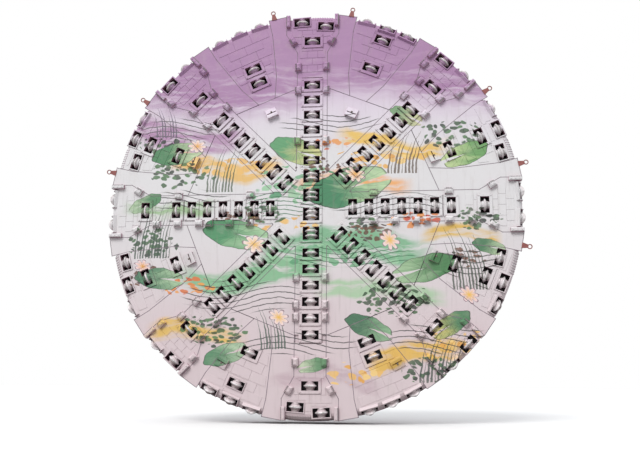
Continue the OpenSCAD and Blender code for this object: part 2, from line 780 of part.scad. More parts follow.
// Boards between a main spoke and its neighbour, from the ring beam to the rim
module outer_slot_covers() {
    main_side = [
        flank_at(aux_r), [flare_r1, spoke_w / 2], [flare_r2, spoke_end_w / 2],
        on_circle(cover_r, spoke_end_w / 2)
    ];
    aux_side = [
        on_circle(cover_r, aux_end_w / 2), [aux_bend_r2, aux_bend_w2 / 2],
        [aux_bend_r1, aux_bend_w1 / 2], [aux_r, aux_root_w / 2]
    ];
    color("honeydew") for (row = main_rows) for (side = [0, 1])
        rotate([0, 0, row[0]]) mirror([0, side, 0])
            translate([0, 0, cover_z]) linear_extrude(cover_t) polygon(pulled_in(
                concat(main_side, [for (p = aux_side) turned([p[0], -p[1]], half_turn)]), fit_gap
            ));
}

// Sloped hoods over the flushing nozzles, open towards the centre
module nozzle_guards() {
    wall = guard_wall;
    color("rosybrown") for (g = guards) rotate([0, 0, g[0]]) translate([g[1], 0, face_z]) difference() {
        translate([0, guard_w / 2, 0]) rotate([90, 0, 0]) linear_extrude(guard_w) polygon([
            [-guard_l / 2, 0], [guard_l / 2, 0], [guard_l / 2, guard_h / 3], [-guard_l / 3, guard_h],
            [-guard_l / 2, guard_h]
        ]);
        translate([-guard_l / 2 - 1, wall - guard_w / 2, wall])
            cube([guard_l / 2 + 1, guard_w - 2 * wall, guard_h - 2 * wall]);
    }
}

// A short hard bar that follows the rounded edge
module comb_bar() {
    low = edge_turn / 2;
    high = 90 - edge_turn / 2;
    turns = [for (a = [edge_turn : edge_turn : 90 - edge_turn]) a];
    translate([0, comb_w / 2, 0]) rotate([90, 0, 0]) linear_extrude(comb_w) polygon(concat(
        [between(low, fit_gap)], [for (a = turns) rim_edge(a, fit_gap)], [between(high, fit_gap)],
        [between(high, rim_bar_t)], [for (i = [1 : len(turns)]) rim_edge(turns[len(turns) - i], rim_bar_t)],
        [between(low, rim_bar_t)]
    ));
}

// The middle of a flat of the rounded edge, or t above it
function between(a, t = 0) = (rim_edge(a - edge_turn / 2, t) + rim_edge(a + edge_turn / 2, t)) / 2;

// Bands of hard bars behind the spoke ends, and a comb of short bars over the rounded edge
module rim_bars() {
    color("rosybrown") {
        for (row = concat(main_rows, aux_rows)) rotate([0, 0, row[0] - rim_bar_span / 2])
            rotate_extrude(angle = rim_bar_span) translate([rim_r + fit_gap, rim_ring_top - rim_ring_l / 2])
                square([rim_bar_t, rim_ring_l / 2]);
        for (row = comb_rows) for (a = comb_angles(row)) rotate([0, 0, row[0] + a]) comb_bar();
    }
}

// A disc cutter, drawn with its shaft along X: hub with a shoulder on each side of the hard ring
module disc(hub, rings) {
    r = disc_d / 2;
    h = hub_d / 2;
    bore = shaft_d / 2 + shaft_gap;
    tip = ring_tip_w / 2;
    rotate([0, 90, 0]) rotate_extrude() polygon(concat(
        [[bore, -hub / 2], [h - hub_taper, -hub / 2]],
        [for (c = rings) each [
            [h, c - ring_root_w / 2], [r - ring_neck_h, c - ring_neck_w / 2],
            [r - ring_bevel, c - tip - ring_bevel], [r, c - tip], [r, c + tip],
            [r - ring_bevel, c + tip + ring_bevel], [r - ring_neck_h, c + ring_neck_w / 2],
            [h, c + ring_root_w / 2]
        ]],
        [[h - hub_taper, hub / 2], [bore, hub / 2]]
    ));
}

module single_disc() {
    color("slategray") disc(hub_w, [0]);
}

module centre_cutters() {
    color("slategray") each_centre() disc(double_hub_w, [-double_ring_gap / 2, double_ring_gap / 2]);
}

// The cutters of two opposite spokes, all on one line
module cutter_row(i) {
    for (k = [i, i + 4]) each_main(main_rows[k]) single_disc();
}

module auxiliary_cutter_row(i) {
    for (k = [i, i + 4]) for (r = aux_rows[k][1]) at_face(aux_rows[k][0], r) single_disc();
}

stand() fixed_bearing_ring();
stand() turning_bearing_ring();
stand() head_flange();
stand() support_legs();
stand() centre_drum();
stand() centre_body();
stand() main_spokes();
stand() auxiliary_spokes();
stand() ring_beam();
stand() rim_ring();
stand() face_cutter_housings();
stand() rim_cutter_housings();
stand() wear_plates();
stand() scrapers();
stand() gauge_scrapers();
stand() inner_slot_covers();
stand() outer_slot_covers();
stand() nozzle_guards();
stand() rim_bars();
stand() centre_cutters();
for (i = [0 : 3]) stand() cutter_row(i);
for (i = [0 : 3]) stand() auxiliary_cutter_row(i);
for (i = [0 : 5]) stand() each_near(near_rows[i]) single_disc();
for (i = [0 : 23]) stand() at_gauge(gauge_rows[i]) single_disc();
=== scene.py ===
"""Cutterhead of a large tunnelling machine: the finishes, small parts, floor, light and camera."""

import math

import bpy
import numpy as np
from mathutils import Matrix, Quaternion, Vector


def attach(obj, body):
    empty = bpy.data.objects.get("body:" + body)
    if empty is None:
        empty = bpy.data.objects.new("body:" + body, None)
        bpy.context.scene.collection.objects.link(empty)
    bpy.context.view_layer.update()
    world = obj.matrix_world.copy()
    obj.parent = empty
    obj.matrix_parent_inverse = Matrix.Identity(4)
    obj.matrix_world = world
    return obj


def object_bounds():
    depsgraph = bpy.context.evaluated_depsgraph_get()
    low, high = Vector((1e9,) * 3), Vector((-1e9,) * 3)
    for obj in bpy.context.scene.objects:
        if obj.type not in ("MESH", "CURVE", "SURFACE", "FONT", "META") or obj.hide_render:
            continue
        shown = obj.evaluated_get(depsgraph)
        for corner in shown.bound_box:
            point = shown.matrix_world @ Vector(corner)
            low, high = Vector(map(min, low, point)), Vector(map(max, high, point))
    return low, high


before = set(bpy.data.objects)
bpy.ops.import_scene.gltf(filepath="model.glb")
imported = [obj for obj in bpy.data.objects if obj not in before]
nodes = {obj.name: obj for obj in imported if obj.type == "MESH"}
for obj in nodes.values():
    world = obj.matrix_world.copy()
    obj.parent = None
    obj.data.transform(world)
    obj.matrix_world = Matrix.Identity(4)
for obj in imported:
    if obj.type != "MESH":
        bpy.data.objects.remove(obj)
cad_low, cad_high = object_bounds()

# The camera of someone standing in the yard, a little right of the head's middle.
# It looks up at the head from eye height, through a moderately long lens.
EYE = (3.384, -32.186, -6.640)
LOOK_LEFT = 0.107
LOOK_UP = 0.190
LEAN = 0.006
LENS_MM = 42.6
FILM_MM = 36.0

lens = bpy.data.cameras.new("yard_camera")
lens.lens = LENS_MM
lens.sensor_width = FILM_MM
lens.clip_end = 400.0  # metres, beyond the floor's near parts
camera = bpy.data.objects.new("yard_camera", lens)
bpy.context.collection.objects.link(camera)
sight = Vector(
    (-math.sin(LOOK_LEFT) * math.cos(LOOK_UP), math.cos(LOOK_LEFT) * math.cos(LOOK_UP), math.sin(LOOK_UP))
)
camera.location = EYE
camera.rotation_mode = "QUATERNION"
camera.rotation_quaternion = sight.to_track_quat("-Z", "Y") @ Quaternion((0, 0, 1), LEAN)
bpy.context.scene.camera = camera
bpy.context.scene.view_settings.view_transform = "Standard"


# The floor is a plain pale slab just below the rim, and the light is a dull bright sky.
# The sky is stronger overhead, so that tops are light and undersides dark.
FLOOR_GAP = 0.08
FLOOR_SIZE = 400.0
FLOOR_COLOUR = "#E9E8E6"
FLOOR_DULL = "#8E8D8C"
SKY_COLOUR = "#F2F5FA"
SKY_TOP = 1.3
SKY_LOW = 0.5
SUN_STRENGTH = 1.85
SUN_WIDTH = math.radians(25)
SUN_WAY = (0.25, 0.75, -0.75)


def linear(hex_colour):
    """Turns an sRGB hex colour into Blender's linear colour: each channel follows the sRGB curve."""
    c = np.array([int(hex_colour[i : i + 2], 16) / 255 for i in (1, 3, 5)])
    c = np.where(c <= 0.04045, c / 12.92, ((c + 0.055) / 1.055) ** 2.4)
    return (*c.tolist(), 1.0)


# Ramps that start and end softly: they stay within their ends without a clamp, which keeps a long
# chain of layers in the order it is written in.
SOFT = {"interpolation_type": "SMOOTHSTEP", "clamp": False}
# One colour laid over another: input 0 is the share, 6 the colour below and 7 the one above.
BLEND = {"out": 2, "data_type": "RGBA"}


def wire(tree, kind, feeds=(), out=0, **settings):
    """Adds a shader node, or takes one that is there, sets it up, feeds its inputs by place or name,
    and returns one output, or all of them for out=None. Colours are given as hex."""
    made = tree.nodes.new(kind if "Node" in kind else "ShaderNode" + kind) if isinstance(kind, str) else kind
    for name, value in settings.items():
        setattr(made, name, value)
    for key, value in feeds.items() if isinstance(feeds, dict) else enumerate(feeds):
        if isinstance(value, bpy.types.NodeSocket):
            tree.links.new(value, made.inputs[key])
        else:
            made.inputs[key].default_value = linear(value) if isinstance(value, str) else value
    return made.outputs if out is None else made.outputs[out]


def material(name):
    """Starts a material, and returns it with its node tree and its shader."""
    made = bpy.data.materials.new(name)
    made.use_nodes = True
    return made, made.node_tree, made.node_tree.nodes["Principled BSDF"]


def plain_rays(tree):
    """1 for a ray of the camera, of gloss or through glass, which sees the plain pale background."""
    rays = wire(tree, "LightPath", out=None)
    either = wire(tree, "Math", [rays["Is Camera Ray"], rays["Is Glossy Ray"]], operation="MAXIMUM")
    return wire(tree, "Math", [either, rays["Is Transmission Ray"]], operation="MAXIMUM")


floor_z = cad_low.z - FLOOR_GAP
side = FLOOR_SIZE / 2
floor_mesh = bpy.data.meshes.new("floor")
floor_mesh.from_pydata(
    [(x * side, y * side, floor_z) for x, y in ((-1, -1), (1, -1), (1, 1), (-1, 1))], [], [(0, 1, 2, 3)]
)
floor = bpy.data.objects.new("floor", floor_mesh)
bpy.context.collection.objects.link(floor)

floor_paint, tree, shader = material("pale_slab")
slab = wire(tree, "Mix", {0: plain_rays(tree), 6: FLOOR_DULL, 7: FLOOR_COLOUR}, **BLEND)
wire(tree, shader, {"Base Color": slab, "Roughness": 0.9})
floor_mesh.materials.append(floor_paint)

world = bpy.data.worlds.new("dull_sky")
bpy.context.scene.world = world
world.use_nodes = True
tree = world.node_tree
tree.nodes.clear()
ray = wire(tree, "TexCoord", out="Generated")
height = wire(tree, "SeparateXYZ", [ray], out="Z")
lift = wire(tree, "MapRange", [height, -0.1, 0.9, SKY_LOW, SKY_TOP], **SOFT)
sky = wire(tree, "Background", [SKY_COLOUR, lift])
plain = wire(tree, "Background", ["#FFFFFF", 1.0])
wire(tree, "OutputWorld", [wire(tree, "MixShader", [plain_rays(tree), sky, plain])], out=None)

sun = bpy.data.lights.new("veiled_sun", "SUN")
sun.energy = SUN_STRENGTH
sun.angle = SUN_WIDTH
sun_object = bpy.data.objects.new("veiled_sun", sun)
bpy.context.collection.objects.link(sun_object)
sun_object.rotation_mode = "QUATERNION"
sun_object.rotation_quaternion = Vector(SUN_WAY).to_track_quat("-Z", "Y")


# The painted face: a weatherproof satin enamel, brushed and sprayed by hand over plates,
# housings and tools alike, so one picture runs across all of them. It is a plain lily
# pond under a lilac evening sky, with broad bands of light, pads, reeds and blossoms.
FACE_DEPTH = 3.9
SKY_LILAC = "#A97FA4"
SKY_PALE = "#D9CCD8"
MIST = "#DBD8D8"
LOW_PINK = "#D3C2C4"
INK = "#3A3A36"
BLOSSOM_INK = "#6A4A50"
SIDE_SHADE = "#9A7482"
RAIN_DIRT = "#8F837E"
DUST = "#C9BFB8"
# Ground: height where each colour begins, height where it is full, colour
GROUND = ((-5.5, 0.5, MIST), (2.0, 4.6, SKY_PALE), (3.6, 6.6, SKY_LILAC))
# Motifs, as shares of their size unless said otherwise
RUFFLE = (7.0, 0.035)  # waves round a pad, depth
NOTCH = (0.16, 0.20)  # half angles, in radians, where a pad's notch ends
VEINS = 8.0
PETALS = 8
PETAL_NOTCH = 0.55
BLOSSOM_FLAT = 0.7
STEM = (0.05, 0.30)  # half width of a reed in its strip, at the tip and low down
SHORTEST_REED = 0.35
SWELL = (1.3, 0.22)  # of the ripples: radians in a metre, metres
LINE = (0.024, 0.011)  # half width of an inked line in metres, to its edge and where it is full
DAB = (0.55, 0.42)  # the same of a dab, in cells
DAB_SQUEEZE = 1.6


def pad(tree, place, grain, colour, at, size, turn, tints, ink):
    """Lays a lily pad over a colour: a disc in its own turned and flattened plane, ruffled at the
    edge by a sine of the angle, with a notch at angle 0, veins by angle, an inked rim and brush
    strokes from the grain."""
    local = wire(
        tree, "Mapping",
        {0: place, 1: (at[0], 0, at[1]), 2: (0, turn, 0), 3: (size[0], 1, size[1])},
        vector_type="TEXTURE",
    )
    parts = wire(tree, "SeparateXYZ", [local], out=None)
    flat = wire(tree, "CombineXYZ", {0: parts["X"], 1: parts["Z"]})
    far = wire(tree, "VectorMath", [flat], out="Value", operation="LENGTH")
    angle = wire(tree, "Math", [parts["Z"], parts["X"]], operation="ARCTAN2")
    wave = wire(tree, "Math", [angle, RUFFLE[0]], operation="MULTIPLY")
    wave = wire(tree, "Math", [wave], operation="SINE")
    edge = wire(tree, "Math", [wave, RUFFLE[1], far], operation="MULTIPLY_ADD")
    inside = wire(tree, "MapRange", [edge, 1.0, 0.985], **SOFT)
    open_angle = wire(tree, "Math", [angle], operation="ABSOLUTE")
    notch = wire(tree, "MapRange", [open_angle, *NOTCH], **SOFT)
    inside = wire(tree, "Math", [inside, notch], operation="MULTIPLY")
    spokes = wire(tree, "Math", [angle, VEINS], operation="MULTIPLY")
    spokes = wire(tree, "Math", [spokes], operation="SINE")
    spokes = wire(tree, "Math", [spokes], operation="ABSOLUTE")
    spokes = wire(tree, "Math", [spokes, far], operation="MULTIPLY")
    vein = wire(tree, "MapRange", [spokes, 0.09, 0.03, 0.0, 0.55], **SOFT)
    rim = wire(tree, "MapRange", [edge, 0.93, 0.99], **SOFT)
    line = wire(tree, "Math", [vein, rim], operation="MAXIMUM")
    line = wire(tree, "Math", [line, ink], operation="MULTIPLY")
    wash = wire(tree, "MapRange", [parts["X"], -1.1, 1.1, 0.1, 1.35], **SOFT)
    wash = wire(tree, "Math", [grain, -0.5, wash], operation="MULTIPLY_ADD")
    tint = wire(tree, "Mix", {0: wash, 6: tints[0], 7: tints[1]}, **BLEND)
    tint = wire(tree, "Mix", {0: line, 6: tint, 7: INK}, **BLEND)
    return wire(tree, "Mix", {0: inside, 6: colour, 7: tint}, **BLEND)


def band(tree, x, z, grain, colour, level, swing, length, phase, width, middle, reach, tint, strength):
    """Lays a broad brushed band over a colour: its height is a sine along x, it fades to both
    sides of that line and to both ends, and stretched grain breaks it into strokes."""
    turn = wire(tree, "Math", [x, math.tau / length, phase], operation="MULTIPLY_ADD")
    line = wire(tree, "Math", [turn], operation="SINE")
    line = wire(tree, "Math", [line, swing, level], operation="MULTIPLY_ADD")
    off = wire(tree, "Math", [z, line], operation="SUBTRACT")
    off = wire(tree, "Math", [off], operation="ABSOLUTE")
    across = wire(tree, "MapRange", [off, width, width * 0.35], **SOFT)
    out = wire(tree, "Math", [x, middle], operation="SUBTRACT")
    out = wire(tree, "Math", [out], operation="ABSOLUTE")
    along = wire(tree, "MapRange", [out, reach, reach * 0.6], **SOFT)
    both = wire(tree, "Math", [across, along], operation="MULTIPLY")
    worn = wire(tree, "Math", [both, grain], operation="MULTIPLY")
    amount = wire(tree, "Math", [worn, strength], operation="MULTIPLY")
    amount = wire(tree, "Math", [amount, 1.0], operation="MINIMUM")
    return wire(tree, "Mix", {0: amount, 6: colour, 7: tint}, **BLEND)


def reeds(tree, x, z, colour, foot, spread, count, height, lean, tint):
    """Lays a clump of reeds over a colour: x is unbent by a parabola of the height, cut into equal
    strips, and each strip holds one tapering stem of its own random length."""
    up = wire(tree, "Math", [z, foot[1]], operation="SUBTRACT")
    up = wire(tree, "Math", [up, height], operation="DIVIDE")
    bent = wire(tree, "Math", [up, up], operation="MULTIPLY")
    bent = wire(tree, "Math", [bent, -lean, x], operation="MULTIPLY_ADD")
    strip = wire(tree, "Math", [bent, foot[0]], operation="SUBTRACT")
    strip = wire(tree, "Math", [strip, count / spread], operation="MULTIPLY")
    number = wire(tree, "Math", [strip], operation="FLOOR")
    chance = wire(tree, "TexWhiteNoise", {"W": number}, noise_dimensions="1D")
    tall = wire(tree, "MapRange", {0: chance, 3: SHORTEST_REED}, **SOFT)
    left = wire(tree, "Math", [tall, up], operation="SUBTRACT")
    thick = wire(tree, "MapRange", [left, 0.0, 0.8, *STEM], **SOFT)
    mid = wire(tree, "Math", [strip], operation="FRACT")
    mid = wire(tree, "Math", [mid, 0.5], operation="SUBTRACT")
    mid = wire(tree, "Math", [mid], operation="ABSOLUTE")
    stem = wire(tree, "Math", [mid, thick], operation="LESS_THAN")
    above = wire(tree, "Math", [left, 0.0], operation="GREATER_THAN")
    based = wire(tree, "Math", [up, 0.0], operation="GREATER_THAN")
    near = wire(tree, "Math", [strip, 0.0], operation="GREATER_THAN")
    far = wire(tree, "Math", [strip, float(count)], operation="LESS_THAN")
    mask = stem
    for other in (above, based, near, far):
        mask = wire(tree, "Math", [mask, other], operation="MULTIPLY")
    mask = wire(tree, "Math", [mask, 0.85], operation="MULTIPLY")
    return wire(tree, "Mix", {0: mask, 6: colour, 7: tint}, **BLEND)


def blossom(tree, place, colour, at, size, turn, tints):
    """Lays an open blossom over a colour: the edge's radius follows the cosine of the angle, so
    that it has eight petals, paler at their tips and inked between them."""
    local = wire(
        tree, "Mapping",
        {0: place, 1: (at[0], 0, at[1]), 2: (0, turn, 0), 3: (size, 1, size * BLOSSOM_FLAT)},
        vector_type="TEXTURE",
    )
    parts = wire(tree, "SeparateXYZ", [local], out=None)
    flat = wire(tree, "CombineXYZ", {0: parts["X"], 1: parts["Z"]})
    far = wire(tree, "VectorMath", [flat], out="Value", operation="LENGTH")
    angle = wire(tree, "Math", [parts["Z"], parts["X"]], operation="ARCTAN2")
    petal = wire(tree, "Math", [angle, PETALS / 2], operation="MULTIPLY")
    petal = wire(tree, "Math", [petal], operation="COSINE")
    petal = wire(tree, "Math", [petal], operation="ABSOLUTE")
    edge = wire(tree, "MapRange", {0: petal, 3: PETAL_NOTCH}, **SOFT)
    depth = wire(tree, "Math", [far, edge], operation="DIVIDE")
    inside = wire(tree, "Math", [depth, 1.0], operation="LESS_THAN")
    tint = wire(tree, "Mix", {0: depth, 6: tints[0], 7: tints[1]}, **BLEND)
    line = wire(tree, "MapRange", [depth, 0.82, 0.96, 0.0, 0.85], **SOFT)
    tint = wire(tree, "Mix", {0: line, 6: tint, 7: BLOSSOM_INK}, **BLEND)
    return wire(tree, "Mix", {0: inside, 6: colour, 7: tint}, **BLEND)


def clouds(tree, flat_place, spots):
    """A mask of soft ellipses: the greatest of values that fall from 1 inside to 0 at each edge."""
    mask = None
    for at, size in spots:
        local = wire(tree, "VectorMath", [flat_place, (at[0], 0.0, at[1])], operation="SUBTRACT")
        local = wire(tree, "VectorMath", [local, (1 / size[0], 0.0, 1 / size[1])], operation="MULTIPLY")
        far = wire(tree, "VectorMath", [local], out="Value", operation="LENGTH")
        near = wire(tree, "MapRange", [far, 1.0, 0.3], **SOFT)
        mask = near if mask is None else wire(tree, "Math", [mask, near], operation="MAXIMUM")
    return mask


def ripples(tree, x, z, flat_place, colour, step, tint, spots):
    """Lays inked ripples over a colour: thin contour lines at equal steps of a height that swings
    with a sine along x, kept inside ellipses."""
    inside = wire(tree, "MapRange", [clouds(tree, flat_place, spots), 0.02, 0.3, 0.0, 0.9], **SOFT)
    swing = wire(tree, "Math", [x, SWELL[0]], operation="MULTIPLY")
    swing = wire(tree, "Math", [swing], operation="SINE")
    level = wire(tree, "Math", [swing, SWELL[1], z], operation="MULTIPLY_ADD")
    level = wire(tree, "Math", [level, step], operation="DIVIDE")
    level = wire(tree, "Math", [level], operation="FRACT")
    level = wire(tree, "Math", [level, 0.5], operation="SUBTRACT")
    level = wire(tree, "Math", [level], operation="ABSOLUTE")
    line = wire(tree, "MapRange", [level, LINE[0] / step, LINE[1] / step], **SOFT)
    line = wire(tree, "Math", [line, inside], operation="MULTIPLY")
    return wire(tree, "Mix", {0: line, 6: colour, 7: tint}, **BLEND)


def dabs(tree, place, flat_place, colour, scale, tints, share, spots):
    """Lays clouds of brush dabs over a colour: round cells of a random pattern, each kept when its
    own chance is below a share that falls off towards the edge of its ellipse."""
    kept = wire(tree, "Math", [clouds(tree, flat_place, spots), share], operation="MULTIPLY")
    # The cells are made before their mapping, which leaves the dabs to a later pass of the renderer.
    cells = wire(tree, "TexVoronoi", {"Scale": scale}, out=None)
    squeezed = wire(tree, "Mapping", {0: place, 3: (1.0, 1.0, DAB_SQUEEZE)})
    wire(tree, cells[0].node, {"Vector": squeezed})
    parts = wire(tree, "SeparateColor", [cells["Color"]], out=None)
    chosen = wire(tree, "Math", [parts["Red"], kept], operation="LESS_THAN")
    round_dab = wire(tree, "MapRange", [cells["Distance"], *DAB, 0.0, 0.92], **SOFT)
    amount = wire(tree, "Math", [chosen, round_dab], operation="MULTIPLY")
    tint = wire(tree, "Mix", {0: parts["Green"], 6: tints[0], 7: tints[1]}, **BLEND)
    return wire(tree, "Mix", {0: amount, 6: colour, 7: tint}, **BLEND)


# Ripples: distance of the lines, colour, then middles and half sizes
RIPPLES = [
    (0.21, "#3C3C3A", (
        ((-2.6, -3.4), (2.8, 0.75)), ((2.9, 0.1), (2.6, 0.6)), ((-5.3, 3.3), (1.9, 0.6)),
        ((4.7, -5.0), (2.2, 0.7)), ((0.7, 3.4), (2.4, 0.45)), ((-4.9, 0.4), (2.0, 0.5)),
        ((5.9, -2.2), (1.4, 0.6)), ((-0.4, -5.2), (2.6, 0.5)),
    )),
    (0.17, "#3A6E4C", (((-1.0, 0.2), (1.9, 0.7)), ((1.5, -1.9), (3.0, 0.5)))),
]
# Dabs: dabs in a metre, two colours, share kept, then middles and half sizes
DABS = [
    (2.6, ("#4F9468", "#A0CDA4"), 1.0, (((-0.6, 0.9), (2.3, 0.95)), ((0.4, -1.9), (3.9, 0.75)))),
    (2.8, ("#DE9E3E", "#F0CC82"), 1.1, (
        ((2.9, 1.9), (2.3, 0.6)), ((-3.0, 1.7), (2.0, 0.5)), ((-1.0, -0.6), (1.7, 0.5)),
        ((5.5, -5.1), (1.5, 0.6)), ((1.5, -6.3), (1.6, 0.5)),
    )),
    (3.8, ("#1A2A20", "#4F7A4A"), 1.7, (
        ((-5.3, 1.5), (1.6, 0.75)), ((5.4, 2.8), (1.5, 0.7)), ((3.1, -3.5), (1.7, 0.8)),
        ((-3.7, -4.7), (1.6, 0.7)), ((6.3, -0.5), (1.1, 0.6)), ((-6.3, -1.3), (1.2, 0.7)),
        ((-6.0, 2.7), (1.2, 0.5)), ((-1.9, -0.2), (1.3, 0.5)), ((2.2, -0.6), (1.2, 0.45)),
        ((4.6, -6.2), (1.5, 0.6)),
    )),
    (4.4, ("#33231C", "#7A4E38"), 1.1, (
        ((-2.9, -0.3), (1.2, 0.5)), ((2.4, -1.0), (1.3, 0.45)), ((0.3, 1.6), (1.0, 0.5)),
        ((-6.4, -2.6), (0.9, 0.5)), ((5.8, -2.0), (1.1, 0.5)),
    )),
    (3.4, ("#C8452E", "#E9A04E"), 0.9, (
        ((-4.9, -3.0), (1.4, 0.5)), ((4.2, -0.5), (1.5, 0.4)), ((1.0, 2.6), (1.1, 0.35)),
    )),
]
# Bands: level, swing, wave length, phase, half width, middle, reach, colour, strength
BANDS = [
    (5.9, 0.5, 11.0, 0.6, 2.3, 0.0, 9.0, "#A47BA1", 1.1),
    (3.1, 0.4, 7.0, 2.2, 0.75, -5.2, 2.9, "#B089AA", 1.1),
    (2.6, 0.35, 6.0, 0.4, 0.42, 3.2, 2.4, "#E3BC63", 1.25),
    (1.7, 0.3, 5.0, 1.9, 0.5, -3.4, 2.6, "#E2B870", 1.1),
    (0.9, 0.3, 6.5, 0.1, 0.45, 1.6, 2.6, "#E8A86A", 1.0),
    (0.2, 0.25, 8.0, 2.8, 0.4, -5.6, 2.0, "#9DB98F", 1.0),
    (-1.6, 0.3, 9.0, 0.9, 0.75, 1.2, 3.6, "#7FB08A", 1.35),
    (-2.6, 0.25, 6.0, 2.1, 0.6, -2.1, 3.2, "#86B58D", 1.35),
    (-3.3, 0.2, 8.0, 0.2, 0.45, 2.6, 2.6, "#A9C4A2", 1.2),
    (-1.2, 0.2, 5.0, 1.2, 0.35, 5.6, 1.6, "#D9B25A", 1.1),
    (-4.9, 0.25, 6.5, 0.5, 0.45, -4.4, 2.0, "#DDB765", 1.1),
    (-5.6, 0.3, 6.0, 2.4, 0.5, 3.9, 2.0, "#DDB35C", 1.3),
    (-6.6, 0.3, 6.5, 1.1, 0.4, 0.6, 2.4, "#BFA8AE", 0.9),
]
# Pads: place, half sizes, turn, two greens, strength of the ink
PADS = [
    ((-2.9, -1.0), (1.35, 0.55), 0.20, ("#4F8E62", "#A9CBA0"), 0.8),
    ((1.5, 0.8), (1.6, 0.75), -0.25, ("#3F7F58", "#B9D2A4"), 0.8),
    ((-0.6, 2.3), (1.1, 0.5), 0.35, ("#5E9A6A", "#D2CE8E"), 0.7),
    ((4.3, -2.4), (1.25, 0.5), 2.9, ("#4A7D4E", "#A6C39A"), 0.9),
    ((-5.4, 2.3), (1.05, 0.45), -0.15, ("#4B8157", "#C2D3A8"), 0.9),
    ((5.9, 2.0), (0.95, 0.42), 2.8, ("#6C9C5F", "#C5D59B"), 0.9),
    ((-5.9, -2.7), (1.0, 0.42), 0.1, ("#47775A", "#A5C29B"), 0.9),
    ((2.2, -4.6), (0.95, 0.4), 0.4, ("#456E52", "#8FB48C"), 1.0),
    ((5.2, -4.5), (0.85, 0.36), 2.6, ("#52805A", "#C7BE75"), 1.0),
    ((-3.2, -5.6), (0.9, 0.38), -0.3, ("#5B8A66", "#B6CBAA"), 0.9),
    ((3.7, 3.6), (0.7, 0.3), 0.5, ("#7A9E74", "#D6CFA2"), 0.7),
    ((-6.6, 0.3), (0.7, 0.3), 2.7, ("#57875F", "#B4C9A6"), 0.9),
    ((6.7, -1.6), (0.65, 0.28), 0.3, ("#4D7A57", "#B8CBA4"), 0.9),
    ((0.1, -6.0), (0.6, 0.26), 2.9, ("#6A936C", "#C4CFB0"), 0.9),
]
# Reeds: foot, spread, number of stems, height, lean, colour
REEDS = [
    ((-7.0, -1.9), 1.5, 13, 2.3, 0.5, "#3E5245"),
    ((5.3, -3.2), 1.3, 11, 2.4, -0.6, "#39493A"),
    ((-4.2, 0.7), 1.1, 9, 1.9, 0.45, "#4A5A46"),
    ((2.9, 1.3), 1.2, 9, 1.7, 0.5, "#5B4A3C"),
    ((-1.9, -5.4), 1.0, 9, 1.6, -0.4, "#43564A"),
    ((4.0, -6.6), 1.4, 11, 1.9, 0.5, "#34443A"),
    ((-6.3, 3.0), 0.9, 8, 1.3, -0.3, "#5C5364"),
]
# Blossoms: place, size, turn, colours of heart and petals
BLOSSOMS = [
    ((-2.2, -1.4), 0.5, 0.2, ("#E8B53A", "#F4E6EA")), ((3.0, -1.3), 0.46, 0.9, ("#E8B53A", "#F1DCE6")),
    ((1.7, 1.3), 0.44, 0.4, ("#E0A030", "#F4E8E2")), ((5.9, -3.4), 0.42, 0.7, ("#E8B53A", "#EFD6E2")),
    ((-4.6, 2.6), 0.4, 0.1, ("#E0A030", "#F4E6EA")), ((-1.2, -4.2), 0.44, 0.5, ("#E8B53A", "#F2E0E8")),
    ((-6.6, -2.2), 0.36, 0.3, ("#E0A030", "#F1DCE6")),
]


def painted_picture():
    """Builds the picture as one node group that reads the object's own X and Z in metres, bent by
    wide and fine noise as a hand would. Brush strokes are noise drawn out along X."""
    tree = bpy.data.node_groups.new("lily_pond", "ShaderNodeTree")
    tree.interface.new_socket("Colour", in_out="OUTPUT", socket_type="NodeSocketColor")
    place = wire(tree, "TexCoord", out="Object")
    wide = wire(tree, "TexNoise", {"Vector": place, "Scale": 0.55, "Detail": 3.0}, out="Color")
    fine = wire(tree, "TexNoise", {"Vector": place, "Scale": 3.2, "Detail": 3.0}, out="Color")
    wide = wire(tree, "VectorMath", [wide, (0.5, 0.5, 0.5)], operation="SUBTRACT")
    fine = wire(tree, "VectorMath", [fine, (0.5, 0.5, 0.5)], operation="SUBTRACT")
    bend = wire(tree, "VectorMath", [wide, (0.9, 0.9, 0.9), place], operation="MULTIPLY_ADD")
    hand = wire(tree, "VectorMath", [fine, (0.14, 0.14, 0.14), bend], operation="MULTIPLY_ADD")
    steady = wire(tree, "VectorMath", [fine, (0.1, 0.1, 0.1), place], operation="MULTIPLY_ADD")
    parts = wire(tree, "SeparateXYZ", [hand], out=None)
    x, z = parts["X"], parts["Z"]
    stroke = wire(tree, "Mapping", {0: hand, 3: (0.35, 0.35, 2.6)})
    stroke = wire(tree, "TexNoise", {"Vector": stroke, "Scale": 1.6, "Detail": 4.0, "Roughness": 0.6})
    grain = wire(tree, "MapRange", [stroke, 0.3, 0.58, 0.15], **SOFT)
    colour = LOW_PINK
    for low, high, tint in GROUND:
        rise = wire(tree, "MapRange", [z, low, high], **SOFT)
        colour = wire(tree, "Mix", {0: rise, 6: colour, 7: tint}, **BLEND)
    for row in BANDS:
        colour = band(tree, x, z, grain, colour, *row)
    loose = wire(tree, "SeparateXYZ", [steady], out=None)
    flat_place = wire(tree, "VectorMath", [steady, (1.0, 0.0, 1.0)], operation="MULTIPLY")
    for row in DABS:
        colour = dabs(tree, hand, flat_place, colour, *row)
    for row in RIPPLES:
        colour = ripples(tree, loose["X"], loose["Z"], flat_place, colour, *row)
    for row in PADS:
        colour = pad(tree, steady, grain, colour, *row)
    for row in REEDS:
        colour = reeds(tree, loose["X"], loose["Z"], colour, *row)
    for row in BLOSSOMS:
        colour = blossom(tree, steady, colour, *row)
    wire(tree, "NodeGroupOutput", [colour], out=None)
    return tree


lily_pond = painted_picture()
# Painted shade: near black laid in the hollows of the windows, from this far behind a window's front.
PAINTED_SHADE_DEPTH = 0.19
PAINTED_SHADE_COLOUR = "#24161B"


